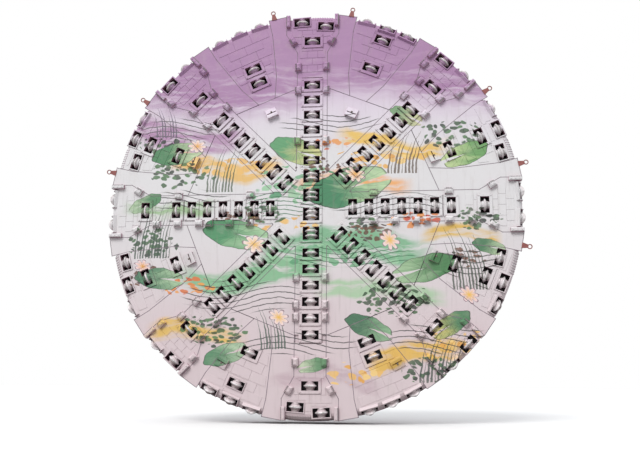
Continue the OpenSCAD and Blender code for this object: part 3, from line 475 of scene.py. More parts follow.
def enamel(name, plain_colour, fronts=()):
    """Satin enamel over welded plate: the picture where a surface faces forwards and plain paint
    on sides and backs, with sprayed mottling, dust and rain streaks. Hollows get painted shade:
    a near black colour from a set depth behind each of the fronts, given as a tilt and the
    distance of the tilted plane, radius * sin(tilt) + depth * cos(tilt)."""
    # In waves to the metre: spray mottling 450 mm wide, rain streaks 130 mm wide and 1.5 m long, and
    # orange peel drawn 17 mm wide, as its real 2 mm would not show.
    made, tree, shader = material(name)
    picture = wire(tree, "Group", node_tree=lily_pond)
    place = wire(tree, "TexCoord", out="Object")
    normal = wire(tree, "NewGeometry", out="Normal")
    facing = wire(tree, "SeparateXYZ", [normal], out="Y")
    front = wire(tree, "MapRange", [facing, -0.2, -0.5], **SOFT)
    mottle = wire(tree, "TexNoise", {"Vector": place, "Scale": 2.2, "Detail": 5.0, "Roughness": 0.62})
    sides = wire(tree, "MapRange", [mottle, 0.3, 0.7, 0.0, 0.35], **SOFT)
    plain = wire(tree, "Mix", {0: sides, 6: plain_colour, 7: SIDE_SHADE}, **BLEND)
    colour = wire(tree, "Mix", {0: front, 6: plain, 7: picture}, **BLEND)
    streaks = wire(tree, "Mapping", {0: place, 3: (5.0, 5.0, 0.45)})
    streaks = wire(tree, "TexNoise", {"Vector": streaks, "Scale": 1.5, "Detail": 5.0, "Roughness": 0.7})
    streaks = wire(tree, "MapRange", [streaks, 0.52, 0.74, 0.0, 0.2], **SOFT)
    colour = wire(tree, "Mix", {0: streaks, 6: colour, 7: RAIN_DIRT}, **BLEND)
    dusty = wire(tree, "MapRange", [mottle, 0.5, 0.75, 0.0, 0.16], **SOFT)
    colour = wire(tree, "Mix", {0: dusty, 6: colour, 7: DUST}, **BLEND)
    # Painted shade: behind each window front the colour turns near black.
    painted_shade = None
    for tilt, distance in fronts:
        flat = wire(tree, "VectorMath", [place, (1.0, 0.0, 1.0)], operation="MULTIPLY")
        out = wire(tree, "VectorMath", [flat], out="Value", operation="LENGTH")
        depth = wire(tree, "SeparateXYZ", [place], out="Y")
        level = wire(tree, "Math", [depth, math.cos(tilt), distance], operation="MULTIPLY_ADD")
        level = wire(tree, "Math", [out, -math.sin(tilt), level], operation="MULTIPLY_ADD")
        below = wire(tree, "MapRange", [level, PAINTED_SHADE_DEPTH, PAINTED_SHADE_DEPTH + 0.02], **SOFT)
        painted_shade = below if painted_shade is None else wire(tree, "Math", [painted_shade, below], operation="MULTIPLY")
    if painted_shade is not None:
        colour = wire(tree, "Mix", {0: painted_shade, 6: colour, 7: PAINTED_SHADE_COLOUR}, **BLEND)
    rough = wire(tree, "MapRange", {0: mottle, 3: 0.4, 4: 0.62}, **SOFT)
    peel = wire(tree, "TexNoise", {"Vector": place, "Scale": 60.0, "Detail": 2.0})
    peel = wire(tree, "Bump", {"Strength": 0.12, "Distance": 0.004, "Height": peel})
    wire(tree, shader, {"Base Color": colour, "Roughness": rough, "Normal": peel})
    return made


# Fronts of the windows in which cutters stand: those flat in the face, and those turned at the rim.
FLAT_WINDOW = (0.0, 3.94)
TURNED_WINDOWS = ((math.radians(30), 7.325), (math.radians(50), 8.579))

# All carry the one picture. The colour given is that of sides and edges: rose on the open face; in
# the housings and round the wear plates it is darker, as painted shade in their gaps and seams.
face_enamel = enamel("painted_face", "#B08A98")
plate_enamel = enamel("painted_wear_plate", "#4E3843")
window_enamel = enamel("painted_housing", "#8E6B78", (FLAT_WINDOW,))
rim_window_enamel = enamel("painted_rim_housing", "#8E6B78", (FLAT_WINDOW, *TURNED_WINDOWS))


def paint(finish, *names):
    """Gives nodes of the frame their finish in place of the plain one they come with."""
    for name in names:
        nodes[name].data.materials.clear()
        nodes[name].data.materials.append(finish)


paint(
    face_enamel, "centre_body", "main_spokes", "auxiliary_spokes", "scrapers", "gauge_scrapers",
    "inner_slot_covers", "outer_slot_covers", "nozzle_guards",
)
paint(plate_enamel, "wear_plates")
paint(window_enamel, "face_cutter_housings")
paint(rim_window_enamel, "rim_cutter_housings")


# The welded steel behind the face: rim ring, ring beam, legs, drum and flange. It is sprayed
# with one coat of rose primer, duller than the face, with dust on it and long runs down it.
PRIMER = "#B98E98"
PRIMER_DARK = "#94707A"
PRIMER_DUST = "#B9ADA6"

# Spray clouds are 900 mm wide and drips 100 mm wide and over a metre long. The mill scale under
# the paint is drawn 40 mm wide, as its real 5 mm would not show.
primer, tree, shader = material("rose_primer")
place = wire(tree, "TexCoord", out="Object")
spray = wire(tree, "TexNoise", {"Vector": place, "Scale": 1.1, "Detail": 6.0, "Roughness": 0.6})
spray = wire(tree, "MapRange", [spray, 0.35, 0.65], **SOFT)
colour = wire(tree, "Mix", {0: spray, 6: PRIMER, 7: PRIMER_DARK}, **BLEND)
drips = wire(tree, "Mapping", {0: place, 3: (6.0, 6.0, 0.5)})
drips = wire(tree, "TexNoise", {"Vector": drips, "Scale": 1.6, "Detail": 5.0})
drips = wire(tree, "MapRange", [drips, 0.5, 0.75, 0.0, 0.45], **SOFT)
colour = wire(tree, "Mix", {0: drips, 6: colour, 7: PRIMER_DUST}, **BLEND)
rough = wire(tree, "MapRange", {0: spray, 3: 0.55, 4: 0.75}, **SOFT)
scale = wire(tree, "TexNoise", {"Vector": place, "Scale": 25.0, "Detail": 4.0})
scale = wire(tree, "Bump", {"Strength": 0.25, "Distance": 0.006, "Height": scale})
wire(tree, shader, {"Base Color": colour, "Roughness": rough, "Normal": scale})
paint(primer, "ring_beam", "rim_ring", "head_flange", "support_legs", "centre_drum")


# The two rings of the main bearing: forged alloy steel, turned on a large lathe and lightly
# oiled. Fine turning marks run round them, so they shine in rings, with a brownish oil film.
BEARING_BRIGHT = "#8B8C8E"
BEARING_OILED = "#6B655C"
TURNING_STEP = 0.012  # drawn coarser than the real 1 mm feed, which would not show
FILM_SCALE = 1.4  # clouds of oil about 700 mm wide

turned_steel, tree, shader = material("turned_bearing_steel")
place = wire(tree, "TexCoord", out="Object")
flat = wire(tree, "VectorMath", [place, (1.0, 0.0, 1.0)], operation="MULTIPLY")
out = wire(tree, "VectorMath", [flat], out="Value", operation="LENGTH")
along = wire(tree, "SeparateXYZ", [place], out="Y")
track = wire(tree, "Math", [out, along], operation="ADD")
track = wire(tree, "Math", [track, 1 / TURNING_STEP], operation="MULTIPLY")
marks = wire(tree, "TexNoise", {"W": track, "Scale": 1.0, "Detail": 2.0}, noise_dimensions="1D")
film = wire(tree, "TexNoise", {"Vector": place, "Scale": FILM_SCALE, "Detail": 5.0})
film = wire(tree, "MapRange", [film, 0.45, 0.65], **SOFT)
colour = wire(tree, "Mix", {0: film, 6: BEARING_BRIGHT, 7: BEARING_OILED}, **BLEND)
rough = wire(tree, "MapRange", {0: marks, 3: 0.28, 4: 0.5}, **SOFT)
marks = wire(tree, "Bump", {"Strength": 0.3, "Distance": 0.001, "Height": marks})
wire(tree, shader, {"Base Color": colour, "Metallic": 1.0, "Roughness": rough, "Normal": marks})
paint(turned_steel, "fixed_bearing_ring", "turning_bearing_ring")


# Disc cutters: a forged hub with a pressed-on ring of tool steel. The hubs are painted over
# with the face, so they carry the picture, dulled; the hard ring is a piece of its own.
DISC = 0.241
REACH = 0.150
AXLE = FACE_DEPTH + REACH - DISC
BORE = 8.080
TIP_ARC = 0.450
# Double cutters one above another: height of the lowest, step
CENTRE_ROW = (-1.0, 0.753)
# Rows on the main spokes: angle, radius of the first cutter, how many stand PITCH apart. One more
# stands at OUTER_STEP pitches from the first.
PITCH = 0.623
OUTER_STEP = 8
ROWS = (
    (0, 1.600, 7), (45, 1.730, 7), (90, 1.900, 6), (135, 1.440, 7),
    (180, 1.600, 7), (225, 1.590, 7), (270, 1.760, 6), (315, 1.520, 7),
)
# Cutters on the auxiliary spokes: angle, radii
BRANCHES = (
    (22.5, (5.77, 7.03, 7.76)), (67.5, (6.10, 7.35)), (112.5, (5.62, 6.24)), (157.5, (5.80, 7.04, 7.75)),
    (202.5, (5.68, 6.93, 7.72)), (247.5, (5.98, 7.25)), (292.5, (5.52, 6.14)), (337.5, (5.85, 7.06, 7.72)),
)
# Upright rim cutters: angle of the first of two opposite ones, radius
PAIRS = ((48.2, 7.80), (138.2, 7.80), (93.2, 7.72), (85.9, 7.53), (15.7, 7.55), (164.1, 7.35))
# Gauge cutters, in the order of their nodes: angle round the head, tilt of the shaft
FULL_TILT, HALF_TILT = math.radians(50), math.radians(30)
GAUGES = (
    (356.3, FULL_TILT), (3.7, FULL_TILT), (176.3, FULL_TILT), (183.7, FULL_TILT), (41.3, FULL_TILT),
    (131.3, FULL_TILT), (221.3, FULL_TILT), (311.3, FULL_TILT), (28.9, FULL_TILT), (208.9, FULL_TILT),
    (151.1, HALF_TILT), (331.1, HALF_TILT), (61.1, HALF_TILT), (67.5, HALF_TILT), (73.9, FULL_TILT),
    (241.1, HALF_TILT), (247.5, HALF_TILT), (253.9, FULL_TILT), (106.1, FULL_TILT), (112.5, FULL_TILT),
    (118.9, FULL_TILT), (286.1, FULL_TILT), (292.5, FULL_TILT), (298.9, FULL_TILT),
)


def spot(angle, radius, height, turn=np.eye(3)):
    """A place on the head: its middle, at a radius and a height in front of y = 0, and as rows its
    directions: along the radius at the angle, across it, and outwards, which is -Y. A turn mixes
    the three, for a body that lies otherwise."""
    c, s = math.cos(math.radians(angle)), math.sin(math.radians(angle))
    ways = np.array(((c, 0.0, s), (-s, 0.0, c), (0.0, -1.0, 0.0)))
    return radius * ways[0] + height * ways[2], turn @ ways


def tilted(angle, tilt):
    """A gauge cutter's place: its tip lies on an arc that leaves the tip height of the face and
    ends at the bore at the full tilt, and the shaft stays square to the arc's radius."""
    _, (shaft, roll, out) = spot(angle, 0.0, 0.0)
    s, c = math.sin(tilt), math.cos(tilt)
    radius = BORE - TIP_ARC * (math.sin(FULL_TILT) - s) - DISC * s
    height = FACE_DEPTH + REACH - TIP_ARC * (1 - c) - DISC * c
    return radius * shaft + height * out, np.array((c * shaft - s * out, roll, s * shaft + c * out))


cutter_places = {"centre_cutters": [spot(90, CENTRE_ROW[0] + CENTRE_ROW[1] * i, AXLE) for i in range(4)]}
for i in range(4):
    cutter_places[f"cutter_row_{ROWS[i][0]}"] = [
        spot(angle, first + PITCH * k, AXLE) for angle, first, count in (ROWS[i], ROWS[i + 4])
        for k in (*range(count), OUTER_STEP)
    ]
    cutter_places[f"auxiliary_cutter_row_{int(BRANCHES[i][0])}"] = [
        spot(angle, r, AXLE) for angle, radii in (BRANCHES[i], BRANCHES[i + 4]) for r in radii
    ]
for i, (angle, radius) in enumerate(PAIRS):
    cutter_places[f"rim_cutters_{i}"] = [spot(angle, radius, AXLE), spot(angle + 180, radius, AXLE)]
for i, (angle, tilt) in enumerate(GAUGES):
    cutter_places[f"gauge_cutter_{i}"] = [tilted(angle, tilt)]

paint(enamel("painted_hub", "#EADFE2"), *cutter_places)


# The hard rings on the hubs: tool steel, hardened and tempered brown, turned to a blunt wedge. They
# are painted over with the face and rubbed bright in patches.
RING_STEEL = "#BDB7B5"
RING_PAINT = "#E6DEDF"
# A ring's section: places along the shaft and radii
RING = (
    (-0.044, 0.170), (-0.0435, 0.1915), (-0.0195, 0.2338), (-0.0112, 0.2418),
    (0.0112, 0.2418), (0.0195, 0.2338), (0.0435, 0.1915), (0.044, 0.170),
)
RUBBED = 9.0  # patches to the metre
TWIN_OFF = 0.095  # how far both discs of a double cutter lie off its middle
HALF_TURN = np.diag((-1.0, 1.0, -1.0))


def quads(rows, columns):
    """Faces of a grid of points that closes on itself both ways: corner (i, j) joins (i+1, j+1)."""
    i, j = np.meshgrid(np.arange(rows), np.arange(columns), indexing="ij")
    a, b = (i + 1) % rows, (j + 1) % columns
    return np.stack((i * columns + j, a * columns + j, a * columns + b, i * columns + b), -1).reshape(-1, 4)


def turned(profile, steps):
    """Turns a closed profile of (place along the shaft, radius) round the shaft: each point's two
    other coordinates are the radius times the cosine and sine of the turn."""
    turns = np.arange(steps) * math.tau / steps
    along, radius = np.asarray(profile).T
    points = np.stack(
        (np.tile(along, (steps, 1)), np.outer(np.cos(turns), radius), np.outer(np.sin(turns), radius)), -1
    )
    return points.reshape(-1, 3), quads(steps, len(profile)).tolist()


def shifted(shape, by, turn=np.eye(3)):
    """A body of points and faces, turned and then moved."""
    return shape[0] @ turn + by, shape[1]


def joined(*shapes):
    """Puts several bodies together: the faces of each count on from the points before it."""
    starts = np.cumsum([0] + [len(points) for points, _ in shapes])
    faces = [
        tuple(start + k for k in face) for start, (_, sides) in zip(starts.tolist(), shapes) for face in sides
    ]
    return np.concatenate([points for points, _ in shapes]), faces


def counted(faces, copies, step):
    """Faces for equal copies of a body: those of each copy count on by the body's points."""
    return [tuple(k + i * step for k in face) for i in range(copies) for face in faces]


def spread(shape, places):
    """Repeats a body at many places: each point is the place's middle plus the point's own
    coordinates along the place's three directions."""
    points, faces = shape
    middles, turns = (np.array(rows) for rows in zip(*places))
    copies = middles[:, None, :] + np.einsum("pi,kij->kpj", points, turns)
    return copies.reshape(-1, 3), counted(faces, len(places), len(points))


def piece(name, shape, finish, body, smooth=True):
    """Makes an object of points and faces at the origin, gives it its finish and lets it ride."""
    mesh = bpy.data.meshes.new(name)
    mesh.from_pydata(shape[0].tolist(), [], shape[1])
    mesh.materials.append(finish)
    mesh.polygons.foreach_set("use_smooth", np.full(len(mesh.polygons), smooth))
    mesh.update()
    made = bpy.data.objects.new(name, mesh)
    bpy.context.collection.objects.link(made)
    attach(made, body)


def on_discs(label, shape, finish):
    """Puts a body on every disc, one object a row, which runs with the row. A double cutter has two
    discs, and the second is the first turned half round."""
    twin = joined(shifted(shape, (-TWIN_OFF, 0.0, 0.0), HALF_TURN), shifted(shape, (TWIN_OFF, 0.0, 0.0)))
    for name, places in cutter_places.items():
        body = name + ("_disc" if "gauge" in name else "_set")
        piece(label + name, spread(twin if name == "centre_cutters" else shape, places), finish, body)


ring_steel, tree, shader = material("tempered_tool_steel")
place = wire(tree, "TexCoord", out="Object")
wear = wire(tree, "TexNoise", {"Vector": place, "Scale": RUBBED, "Detail": 5.0})
worn = wire(tree, "MapRange", [wear, 0.4, 0.6], **SOFT)
colour = wire(tree, "Mix", {0: worn, 6: RING_STEEL, 7: RING_PAINT}, **BLEND)
rough = wire(tree, "MapRange", {0: wear, 3: 0.35, 4: 0.6}, **SOFT)
wire(tree, shader, {"Base Color": colour, "Metallic": 0.15, "Roughness": rough})
on_discs("hard_rings_", turned(RING, 40), ring_steel)


# Retaining bands and seal grooves on the hubs: a split band of spring steel beside each ring and
# two dark rubber seals towards the hub's ends, all running round with the disc.
BAND = ((0.072, 0.171), (0.088, 0.171), (0.088, 0.162), (0.072, 0.162))
SEAL = ((0.112, 0.1665), (0.122, 0.1665), (0.122, 0.162), (0.112, 0.162))


def mottled(name, scale, detail, one, other, **constants):
    """Starts a finish that drifts between two colours along a noise, with scale waves to the metre."""
    made, tree, shader = material(name)
    place = wire(tree, "TexCoord", out="Object")
    drift = wire(tree, "TexNoise", {"Vector": place, "Scale": scale, "Detail": detail})
    colour = wire(tree, "Mix", {0: drift, 6: one, 7: other}, **BLEND)
    wire(tree, shader, {"Base Color": colour, **constants})
    return made


# Spring steel blued by its tempering: dark, half glossy, with browner stains 70 mm wide.
band_steel = mottled("blued_spring_steel", 14.0, 3.0, "#4A4440", "#8C7D78", Metallic=0.8, Roughness=0.42)
seal = turned(SEAL, 24)
hub_bands = joined(turned(BAND, 24), seal, shifted(seal, 0.0, HALF_TURN))
on_discs("hub_bands_", hub_bands, band_steel)


# Weld beads round the foot of every housing on the face: two passes of filler laid by hand, left
# as they cooled, then painted over with the face.
# Housings: length along the shaft, width
HOUSING = (0.560, 0.840)
SHORT_HOUSING = (0.400, 0.700)
DOUBLE_HOUSING = (0.700, 0.840)
BEAD = 0.024
BEAD_SUNK = 0.004
SQUARE = np.array(((-1.0, -1.0), (1.0, -1.0), (1.0, 1.0), (-1.0, 1.0)))


def bead(length, width, thick):
    """Carries a half-round bead round a rectangle: at each corner its profile is moved along the
    diagonal, so that the bead's sides stay parallel to the rectangle's."""
    turns = np.linspace(0, math.pi, 5)
    across = np.concatenate(((-1.0, 1.0), np.cos(turns))) * thick / 2
    up = np.concatenate(((-BEAD_SUNK, -BEAD_SUNK), np.sin(turns) * thick / 2))
    flat = (SQUARE * (length, width) / 2)[:, None, :] + SQUARE[:, None, :] * across[None, :, None]
    points = np.concatenate((flat, np.broadcast_to(up[None, :, None], (*flat.shape[:2], 1))), -1)
    return points.reshape(-1, 3), quads(4, len(across)).tolist()


# The sides of the beads are a shade darker than the plate.
bead_enamel = enamel("painted_weld", "#A98794")
double_places = cutter_places["centre_cutters"]
long_places, short_places = [], []
for name, places in cutter_places.items():
    if name.startswith("cutter_row"):
        long_places += places
    elif name.startswith("auxiliary_cutter_row"):
        long_places += places[:2]
        short_places += places[2:]
    elif "rim_cutters" in name:
        short_places += places
for name, (length, width), places in (
    ("housing_welds", HOUSING, long_places), ("centre_housing_welds", DOUBLE_HOUSING, double_places),
    ("short_housing_welds", SHORT_HOUSING, short_places),
):
    feet = [(np.array((m[0], -FACE_DEPTH, m[2])), t) for m, t in places]
    piece(name, spread(bead(length + BEAD, width + BEAD, BEAD), feet), bead_enamel, "head")


# Fillet welds where the wear plates, scrapers and nozzle guards stand on the face, one run along
# every edge of a foot, and a flat bead of grey sealant over the joints of the slot boards.
PLATE_FILLET = 0.008
FOOT_FILLET = 0.020
SEAL_WIDTH = 0.026
SEAL_HEIGHT = 0.004
SHORTEST_RUN = 0.004
SUNK = 0.002  # how deep small parts reach into what carries them


def foot_edges(node, level):
    """Finds the outline of a node's flat faces in the plane y = level: of the triangles there, the
    edges that belong to one only. Gives each edge's start, its end and the way out of the face."""
    mesh = node.data
    mesh.calc_loop_triangles()
    spots = np.empty(len(mesh.vertices) * 3)
    mesh.vertices.foreach_get("co", spots)
    turn = np.array(node.matrix_world)
    spots = spots.reshape(-1, 3) @ turn[:3, :3].T + turn[:3, 3]
    # Corners that fall into the same half millimetre are one point of the outline.
    _, same = np.unique(np.round(spots * 2e3).astype(int), axis=0, return_inverse=True)
    corners = np.empty(len(mesh.loop_triangles) * 3, int)
    mesh.loop_triangles.foreach_get("vertices", corners)
    corners = corners.reshape(-1, 3)
    corners = corners[(np.abs(spots[corners][:, :, 1] - level) < 5e-4).all(1)]
    ends = np.concatenate([corners[:, (i, (i + 1) % 3, (i + 2) % 3)] for i in range(3)])
    pairs = np.sort(same.reshape(-1)[ends[:, :2]], 1)
    _, back, count = np.unique(pairs, axis=0, return_inverse=True, return_counts=True)
    start, end, third = spots[ends[count[back.reshape(-1)] == 1].T]
    kept = np.linalg.norm(end - start, axis=1) > SHORTEST_RUN
    start, end, third = start[kept], end[kept], third[kept]
    along = (end - start) / np.linalg.norm(end - start, axis=1)[:, None]
    inward = third - start
    inward -= (inward * along).sum(1)[:, None] * along
    return start, end, -inward / np.linalg.norm(inward, axis=1)[:, None]


def welded(edges, profile):
    """Lays one straight run of a profile along each edge: a profile point (a, b) lies a out of the
    face and b above it, and both ends reach on by the profile's greatest a, to close corners."""
    start, end, out = edges
    up = np.array((0.0, -1.0, 0.0))
    along = np.cross(out, up)
    swap = (((end - start) * along).sum(1) < 0)[:, None]
    start, end = np.where(swap, end, start), np.where(swap, start, end)
    profile = np.asarray(profile)
    reach = profile[:, 0].max()
    section = profile[None, :, :1] * out[:, None, :] + profile[None, :, 1:] * up
    points = np.stack((start - reach * along, end + reach * along), 1)[:, :, None, :] + section[:, None]
    count = len(profile)
    faces = [(i, (i + 1) % count, count + (i + 1) % count, count + i) for i in range(count)]
    faces += [tuple(range(count))[::-1], tuple(range(count, 2 * count))]
    return points.reshape(-1, 3), counted(faces, len(start), 2 * count)


def fillet(leg):
    """The section of a hollow fillet with legs of the given length, sunk a little into both sides."""
    return [(-0.002, -0.003), (leg, -0.003), (leg * 0.6, leg * 0.35), (leg * 0.3, leg * 0.7), (-0.002, leg)]


# Thin runs in inner corners, painted a darker colour than the plate.
weld_enamel = enamel("painted_fillet", "#8F727C")
for name, leg in (("wear_plates", PLATE_FILLET), ("scrapers", FOOT_FILLET), ("nozzle_guards", FOOT_FILLET)):
    edges = foot_edges(nodes[name], -FACE_DEPTH)
    piece(name + "_welds", welded(edges, fillet(leg)), weld_enamel, "head", smooth=False)

# Polyurethane sealant smoothed with a spatula: dull grey, with dust in smears 300 mm long.
sealant = mottled("grey_sealant", 3.0, 5.0, "#5F5059", "#8F7F88", Roughness=0.7)
seal_profile = [
    (-SEAL_WIDTH / 2, -SUNK), (SEAL_WIDTH / 2, -SUNK),
    (SEAL_WIDTH / 3, SEAL_HEIGHT), (-SEAL_WIDTH / 3, SEAL_HEIGHT),
]
for name in ("inner_slot_covers", "outer_slot_covers"):
    edges = foot_edges(nodes[name], -FACE_DEPTH)
    piece(name + "_seals", welded(edges, seal_profile), sealant, "head", smooth=False)


# Hexagon bolts with chamfered heads, which clamp the wedges in the long and the double housings.
# They are painted over with what they stand on.
HEAD_ACROSS = 0.055
HOUSING_FRONT = 0.131
# Off a housing's middle: along the roll, and along the shaft in a long and in a double one
BOLT_END = 0.370
LONG_BOLTS = (-0.225, 0.225)
DOUBLE_BOLTS = (-0.303, 0.0, 0.303)


def stack(rings, sides):
    """Stacks regular rings of (radius, height) into a closed body: the ring's points are the
    radius times the cosine and sine of equal steps of turn."""
    turns = np.arange(sides) * math.tau / sides
    radius, height = np.asarray(rings, float).T
    heights = np.repeat(height[:, None], sides, 1)
    points = np.stack((np.outer(radius, np.cos(turns)), np.outer(radius, np.sin(turns)), heights), -1)
    last = (len(rings) - 1) * sides
    faces = quads(len(rings), sides)[:last, ::-1].tolist()
    return points.reshape(-1, 3), [*faces, tuple(range(sides))[::-1], tuple(range(last, last + sides))]


def hex_bolt(across, washer=0.0):
    """A head of height 0.4 of its width over flats, with its rim chamfered, on an optional washer."""
    radius, foot = across / math.sqrt(3), 0.1 * across if washer else 0.0
    rim, top = foot + 0.33 * across, foot + 0.4 * across
    head = stack([(radius, foot - SUNK), (radius, rim), (0.86 * radius, top)], 6)
    return joined(stack([(washer, -SUNK), (washer, foot)], 12), head) if washer else head


def moved(places, spots, turn=np.eye(3)):
    """Every place moved by each of the spots, given along its own three directions, and turned."""
    return [(m + np.asarray(by) @ t, turn @ t) for m, t in places for by in spots]


for name, places, offs in (
    ("housing_bolts", long_places, LONG_BOLTS), ("centre_housing_bolts", double_places, DOUBLE_BOLTS)
):
    spots = [(off, end, HOUSING_FRONT) for off in offs for end in (-BOLT_END, BOLT_END)]
    piece(name, spread(hex_bolt(HEAD_ACROSS), moved(places, spots)), bead_enamel, "head", smooth=False)


# Scraper tools: hard-metal inserts brazed along the leading edge of every scraper and gauge bar,
# and socket screws that hold the body on its seat, painted over with the face.
# Radii of the scrapers beside each main spoke: on the side of lower angles, and on the other
SCRAPERS = (
    ((2.40, 3.20, 4.00, 4.40, 5.25, 6.10), (2.40, 5.25)), ((5.69, 6.54), (5.69, 6.54)),
    ((2.70, 4.80, 5.78), (2.70, 4.80, 5.78)), ((5.40, 6.25), (5.40, 6.25)),
    ((2.40, 5.25), (2.40, 3.20, 4.00, 4.40, 5.25, 6.10)), ((5.64, 6.45), (5.64, 6.45)),
    ((2.70, 3.75, 4.20, 5.88), (2.70, 3.75, 4.20, 5.88)), ((5.48, 6.33), (5.48, 6.33)),
)
SPOKES = range(0, 360, 45)
SCRAPER_OFF = 0.560
SCRAPER_TOP = 0.180
BEVEL = 0.060
# Outermost scraper on upright and level spokes, and on slanted ones: radius, distance off, turn
CORNER_STRAIGHT = (6.88, 0.78, 30)
CORNER_SLANTED = (7.18, 0.92, 0)
# Gauge bars: radius, distance off the line, height
GAUGE_BAR = (7.739, 0.985, 0.150)
# Inserts of scrapers and of bars: foot and top as length and width, height; then places along them
INSERT = ((0.040, 0.056), (0.036, 0.050), 0.010)
BAR_INSERT = ((0.046, 0.040), (0.040, 0.034), 0.010)
INSERTS_AT = np.linspace(-0.094, 0.094, 5)
BAR_INSERTS_AT = np.linspace(-0.2, 0.2, 8)
INSERT_LINE = 0.090
# Screws: radii and heights of head and socket; then places along and across scrapers and bars
SCREW = ((0.024, -SUNK), (0.024, 0.010), (0.021, 0.013))
SOCKET = ((0.011, 0.0128), (0.011, 0.0138))
SCREWS_AT, SCREW_LINE = (-0.055, 0.055), -0.012
BAR_SCREWS_AT, BAR_SCREW_LINE = (-0.16, 0.0, 0.16), -0.010


def beside(angle, radius, across, side, turn=0.0):
    """A place on the face beside a spoke's line: the first direction runs along the spoke and the
    second away from its line, turned by the angle given; on the other side both are reversed."""
    _, (u, v, out) = spot(angle, 0.0, 0.0)
    c, s = side * math.cos(math.radians(turn)), math.sin(math.radians(turn))
    return radius * u + side * across * v + FACE_DEPTH * out, np.array((c * u + s * v, c * v - s * u, out))


def frustum(bottom, top, height):
    """A block between two rectangles of (length, width), one above the middle of the other."""
    low = np.column_stack((SQUARE * bottom / 2, np.zeros(4)))
    high = np.column_stack((SQUARE * top / 2, np.full(4, height)))
    sides = [(0, 3, 2, 1), (0, 1, 5, 4), (1, 2, 6, 5), (2, 3, 7, 6), (3, 0, 4, 7), (4, 5, 6, 7)]
    return np.concatenate((low, high)), sides


scraper_places = [
    beside(angle, radius, SCRAPER_OFF, side) for angle, both in zip(SPOKES, SCRAPERS)
    for side, radii in zip((-1, 1), both) for radius in radii
]
gauge_bar_places = []
for angle in SPOKES:
    radius, across, turn = CORNER_SLANTED if angle % 90 else CORNER_STRAIGHT
    scraper_places += [beside(angle, radius, across, side, turn) for side in (-1, 1)]
    gauge_bar_places += [beside(angle, GAUGE_BAR[0], GAUGE_BAR[1], side) for side in (-1, 1)]

# Sintered tungsten carbide, ground and brazed in: mid grey with a dull gloss. Its specks are
# drawn 25 mm wide, as the real ones are too fine to show.
carbide = mottled("brazed_carbide", 40.0, 4.0, "#6E6A6B", "#A59A9C", Metallic=0.7, Roughness=0.38)
half = math.sqrt(0.5)
lean = np.array(((1.0, 0.0, 0.0), (0.0, half, -half), (0.0, half, half)))
tips = moved(scraper_places, [(x, INSERT_LINE, SCRAPER_TOP - BEVEL / 2) for x in INSERTS_AT], lean)
piece("scraper_inserts", spread(frustum(*INSERT), tips), carbide, "head", smooth=False)
spots = [(x, GAUGE_BAR[2] / 2 - BEVEL / 4, GAUGE_BAR[2] - BEVEL / 4) for x in BAR_INSERTS_AT]
tips = moved(gauge_bar_places, spots, lean)
piece("gauge_bar_inserts", spread(frustum(*BAR_INSERT), tips), carbide, "head", smooth=False)

screw = joined(stack(SCREW, 12), stack(SOCKET, 6))
spots = [(x, SCREW_LINE, SCRAPER_TOP) for x in SCREWS_AT]
piece("scraper_screws", spread(screw, moved(scraper_places, spots)), weld_enamel, "head", smooth=False)
spots = [(x, BAR_SCREW_LINE, GAUGE_BAR[2]) for x in BAR_SCREWS_AT]
piece("gauge_bar_screws", spread(screw, moved(gauge_bar_places, spots)), weld_enamel, "head", smooth=False)


# Flushing nozzles under their guards: short lengths of thick steel pipe that point to the centre,
# screwed into a welded boss, with a lip worn bright.
# Angle and radius of each guard
GUARDS = (
    (22.5, 5.10), (67.5, 4.10), (112.5, 4.20), (157.5, 5.10),
    (202.5, 5.10), (240.6, 6.77), (298.6, 6.74), (337.5, 5.10),
)
# Section of a nozzle: places along it, which is outwards on the radius, and radii
NOZZLE = ((-0.150, 0.022), (-0.150, 0.034), (0.0, 0.037), (0.0, 0.049), (0.05, 0.049), (0.05, 0.022))
NOZZLE_RISE = 0.085

nozzle_places = [spot(angle, radius, FACE_DEPTH + NOZZLE_RISE) for angle, radius in GUARDS]
piece("flushing_nozzles", spread(turned(NOZZLE, 16), nozzle_places), band_steel, "head")


# Lifting lugs between the spoke ends: flame-cut plates with a shackle ring, welded to the rim for
# handling the boards. They are left in red lead, an oil primer that dries dull and chalks in
# patches 120 mm wide.
LUG_ANGLES = (348.75, 11.25, 33.75, 78.75, 101.25, 146.25, 168.75)
LUG_RADIUS = 8.035
LUG_DEPTH = 3.905
LUG = ((0.220, 0.050), (0.120, 0.050), 0.240)  # foot and top as length and width, height
LUG_RING = (0.080, 0.020, 0.295)  # radius, half its thickness, height of its middle
# Puts the second direction first, the third second and the first last
NEXT = np.array(((0.0, 1.0, 0.0), (0.0, 0.0, 1.0), (1.0, 0.0, 0.0)))

red_lead = mottled("red_lead_primer", 8.0, 5.0, "#6E2F2C", "#A0625C", Roughness=0.6)
turns = [k * math.tau / 6 for k in range(6)]
section = [(LUG_RING[1] * math.cos(a), LUG_RING[0] + LUG_RING[1] * math.sin(a)) for a in turns]
shackle = shifted(turned(section, 16), (0.0, 0.0, LUG_RING[2]), NEXT)
lug_places = [spot(angle, LUG_RADIUS, LUG_DEPTH, NEXT) for angle in LUG_ANGLES]
piece("lifting_lugs", spread(joined(frustum(*LUG), shackle), lug_places), red_lead, "head", smooth=False)


# Hard facing on the rim: bands of chrome-carbide plate behind the spoke ends and cast bars round
# the edge, painted over with the face, with dust and rain on them.
paint(enamel("painted_hard_facing", "#A98090"), "rim_bars")


# The rear of the head: weld runs round rim ring, drum and legs, bolts that hold the flange on the
# bearing, and the bearing's own gear ring, cut inside its turning ring.
AXIS = [(np.zeros(3), NEXT)]  # the place of what is turned round the head's own axis
FLANGE_FRONT = 0.900
SPOKE_BACK = 2.000
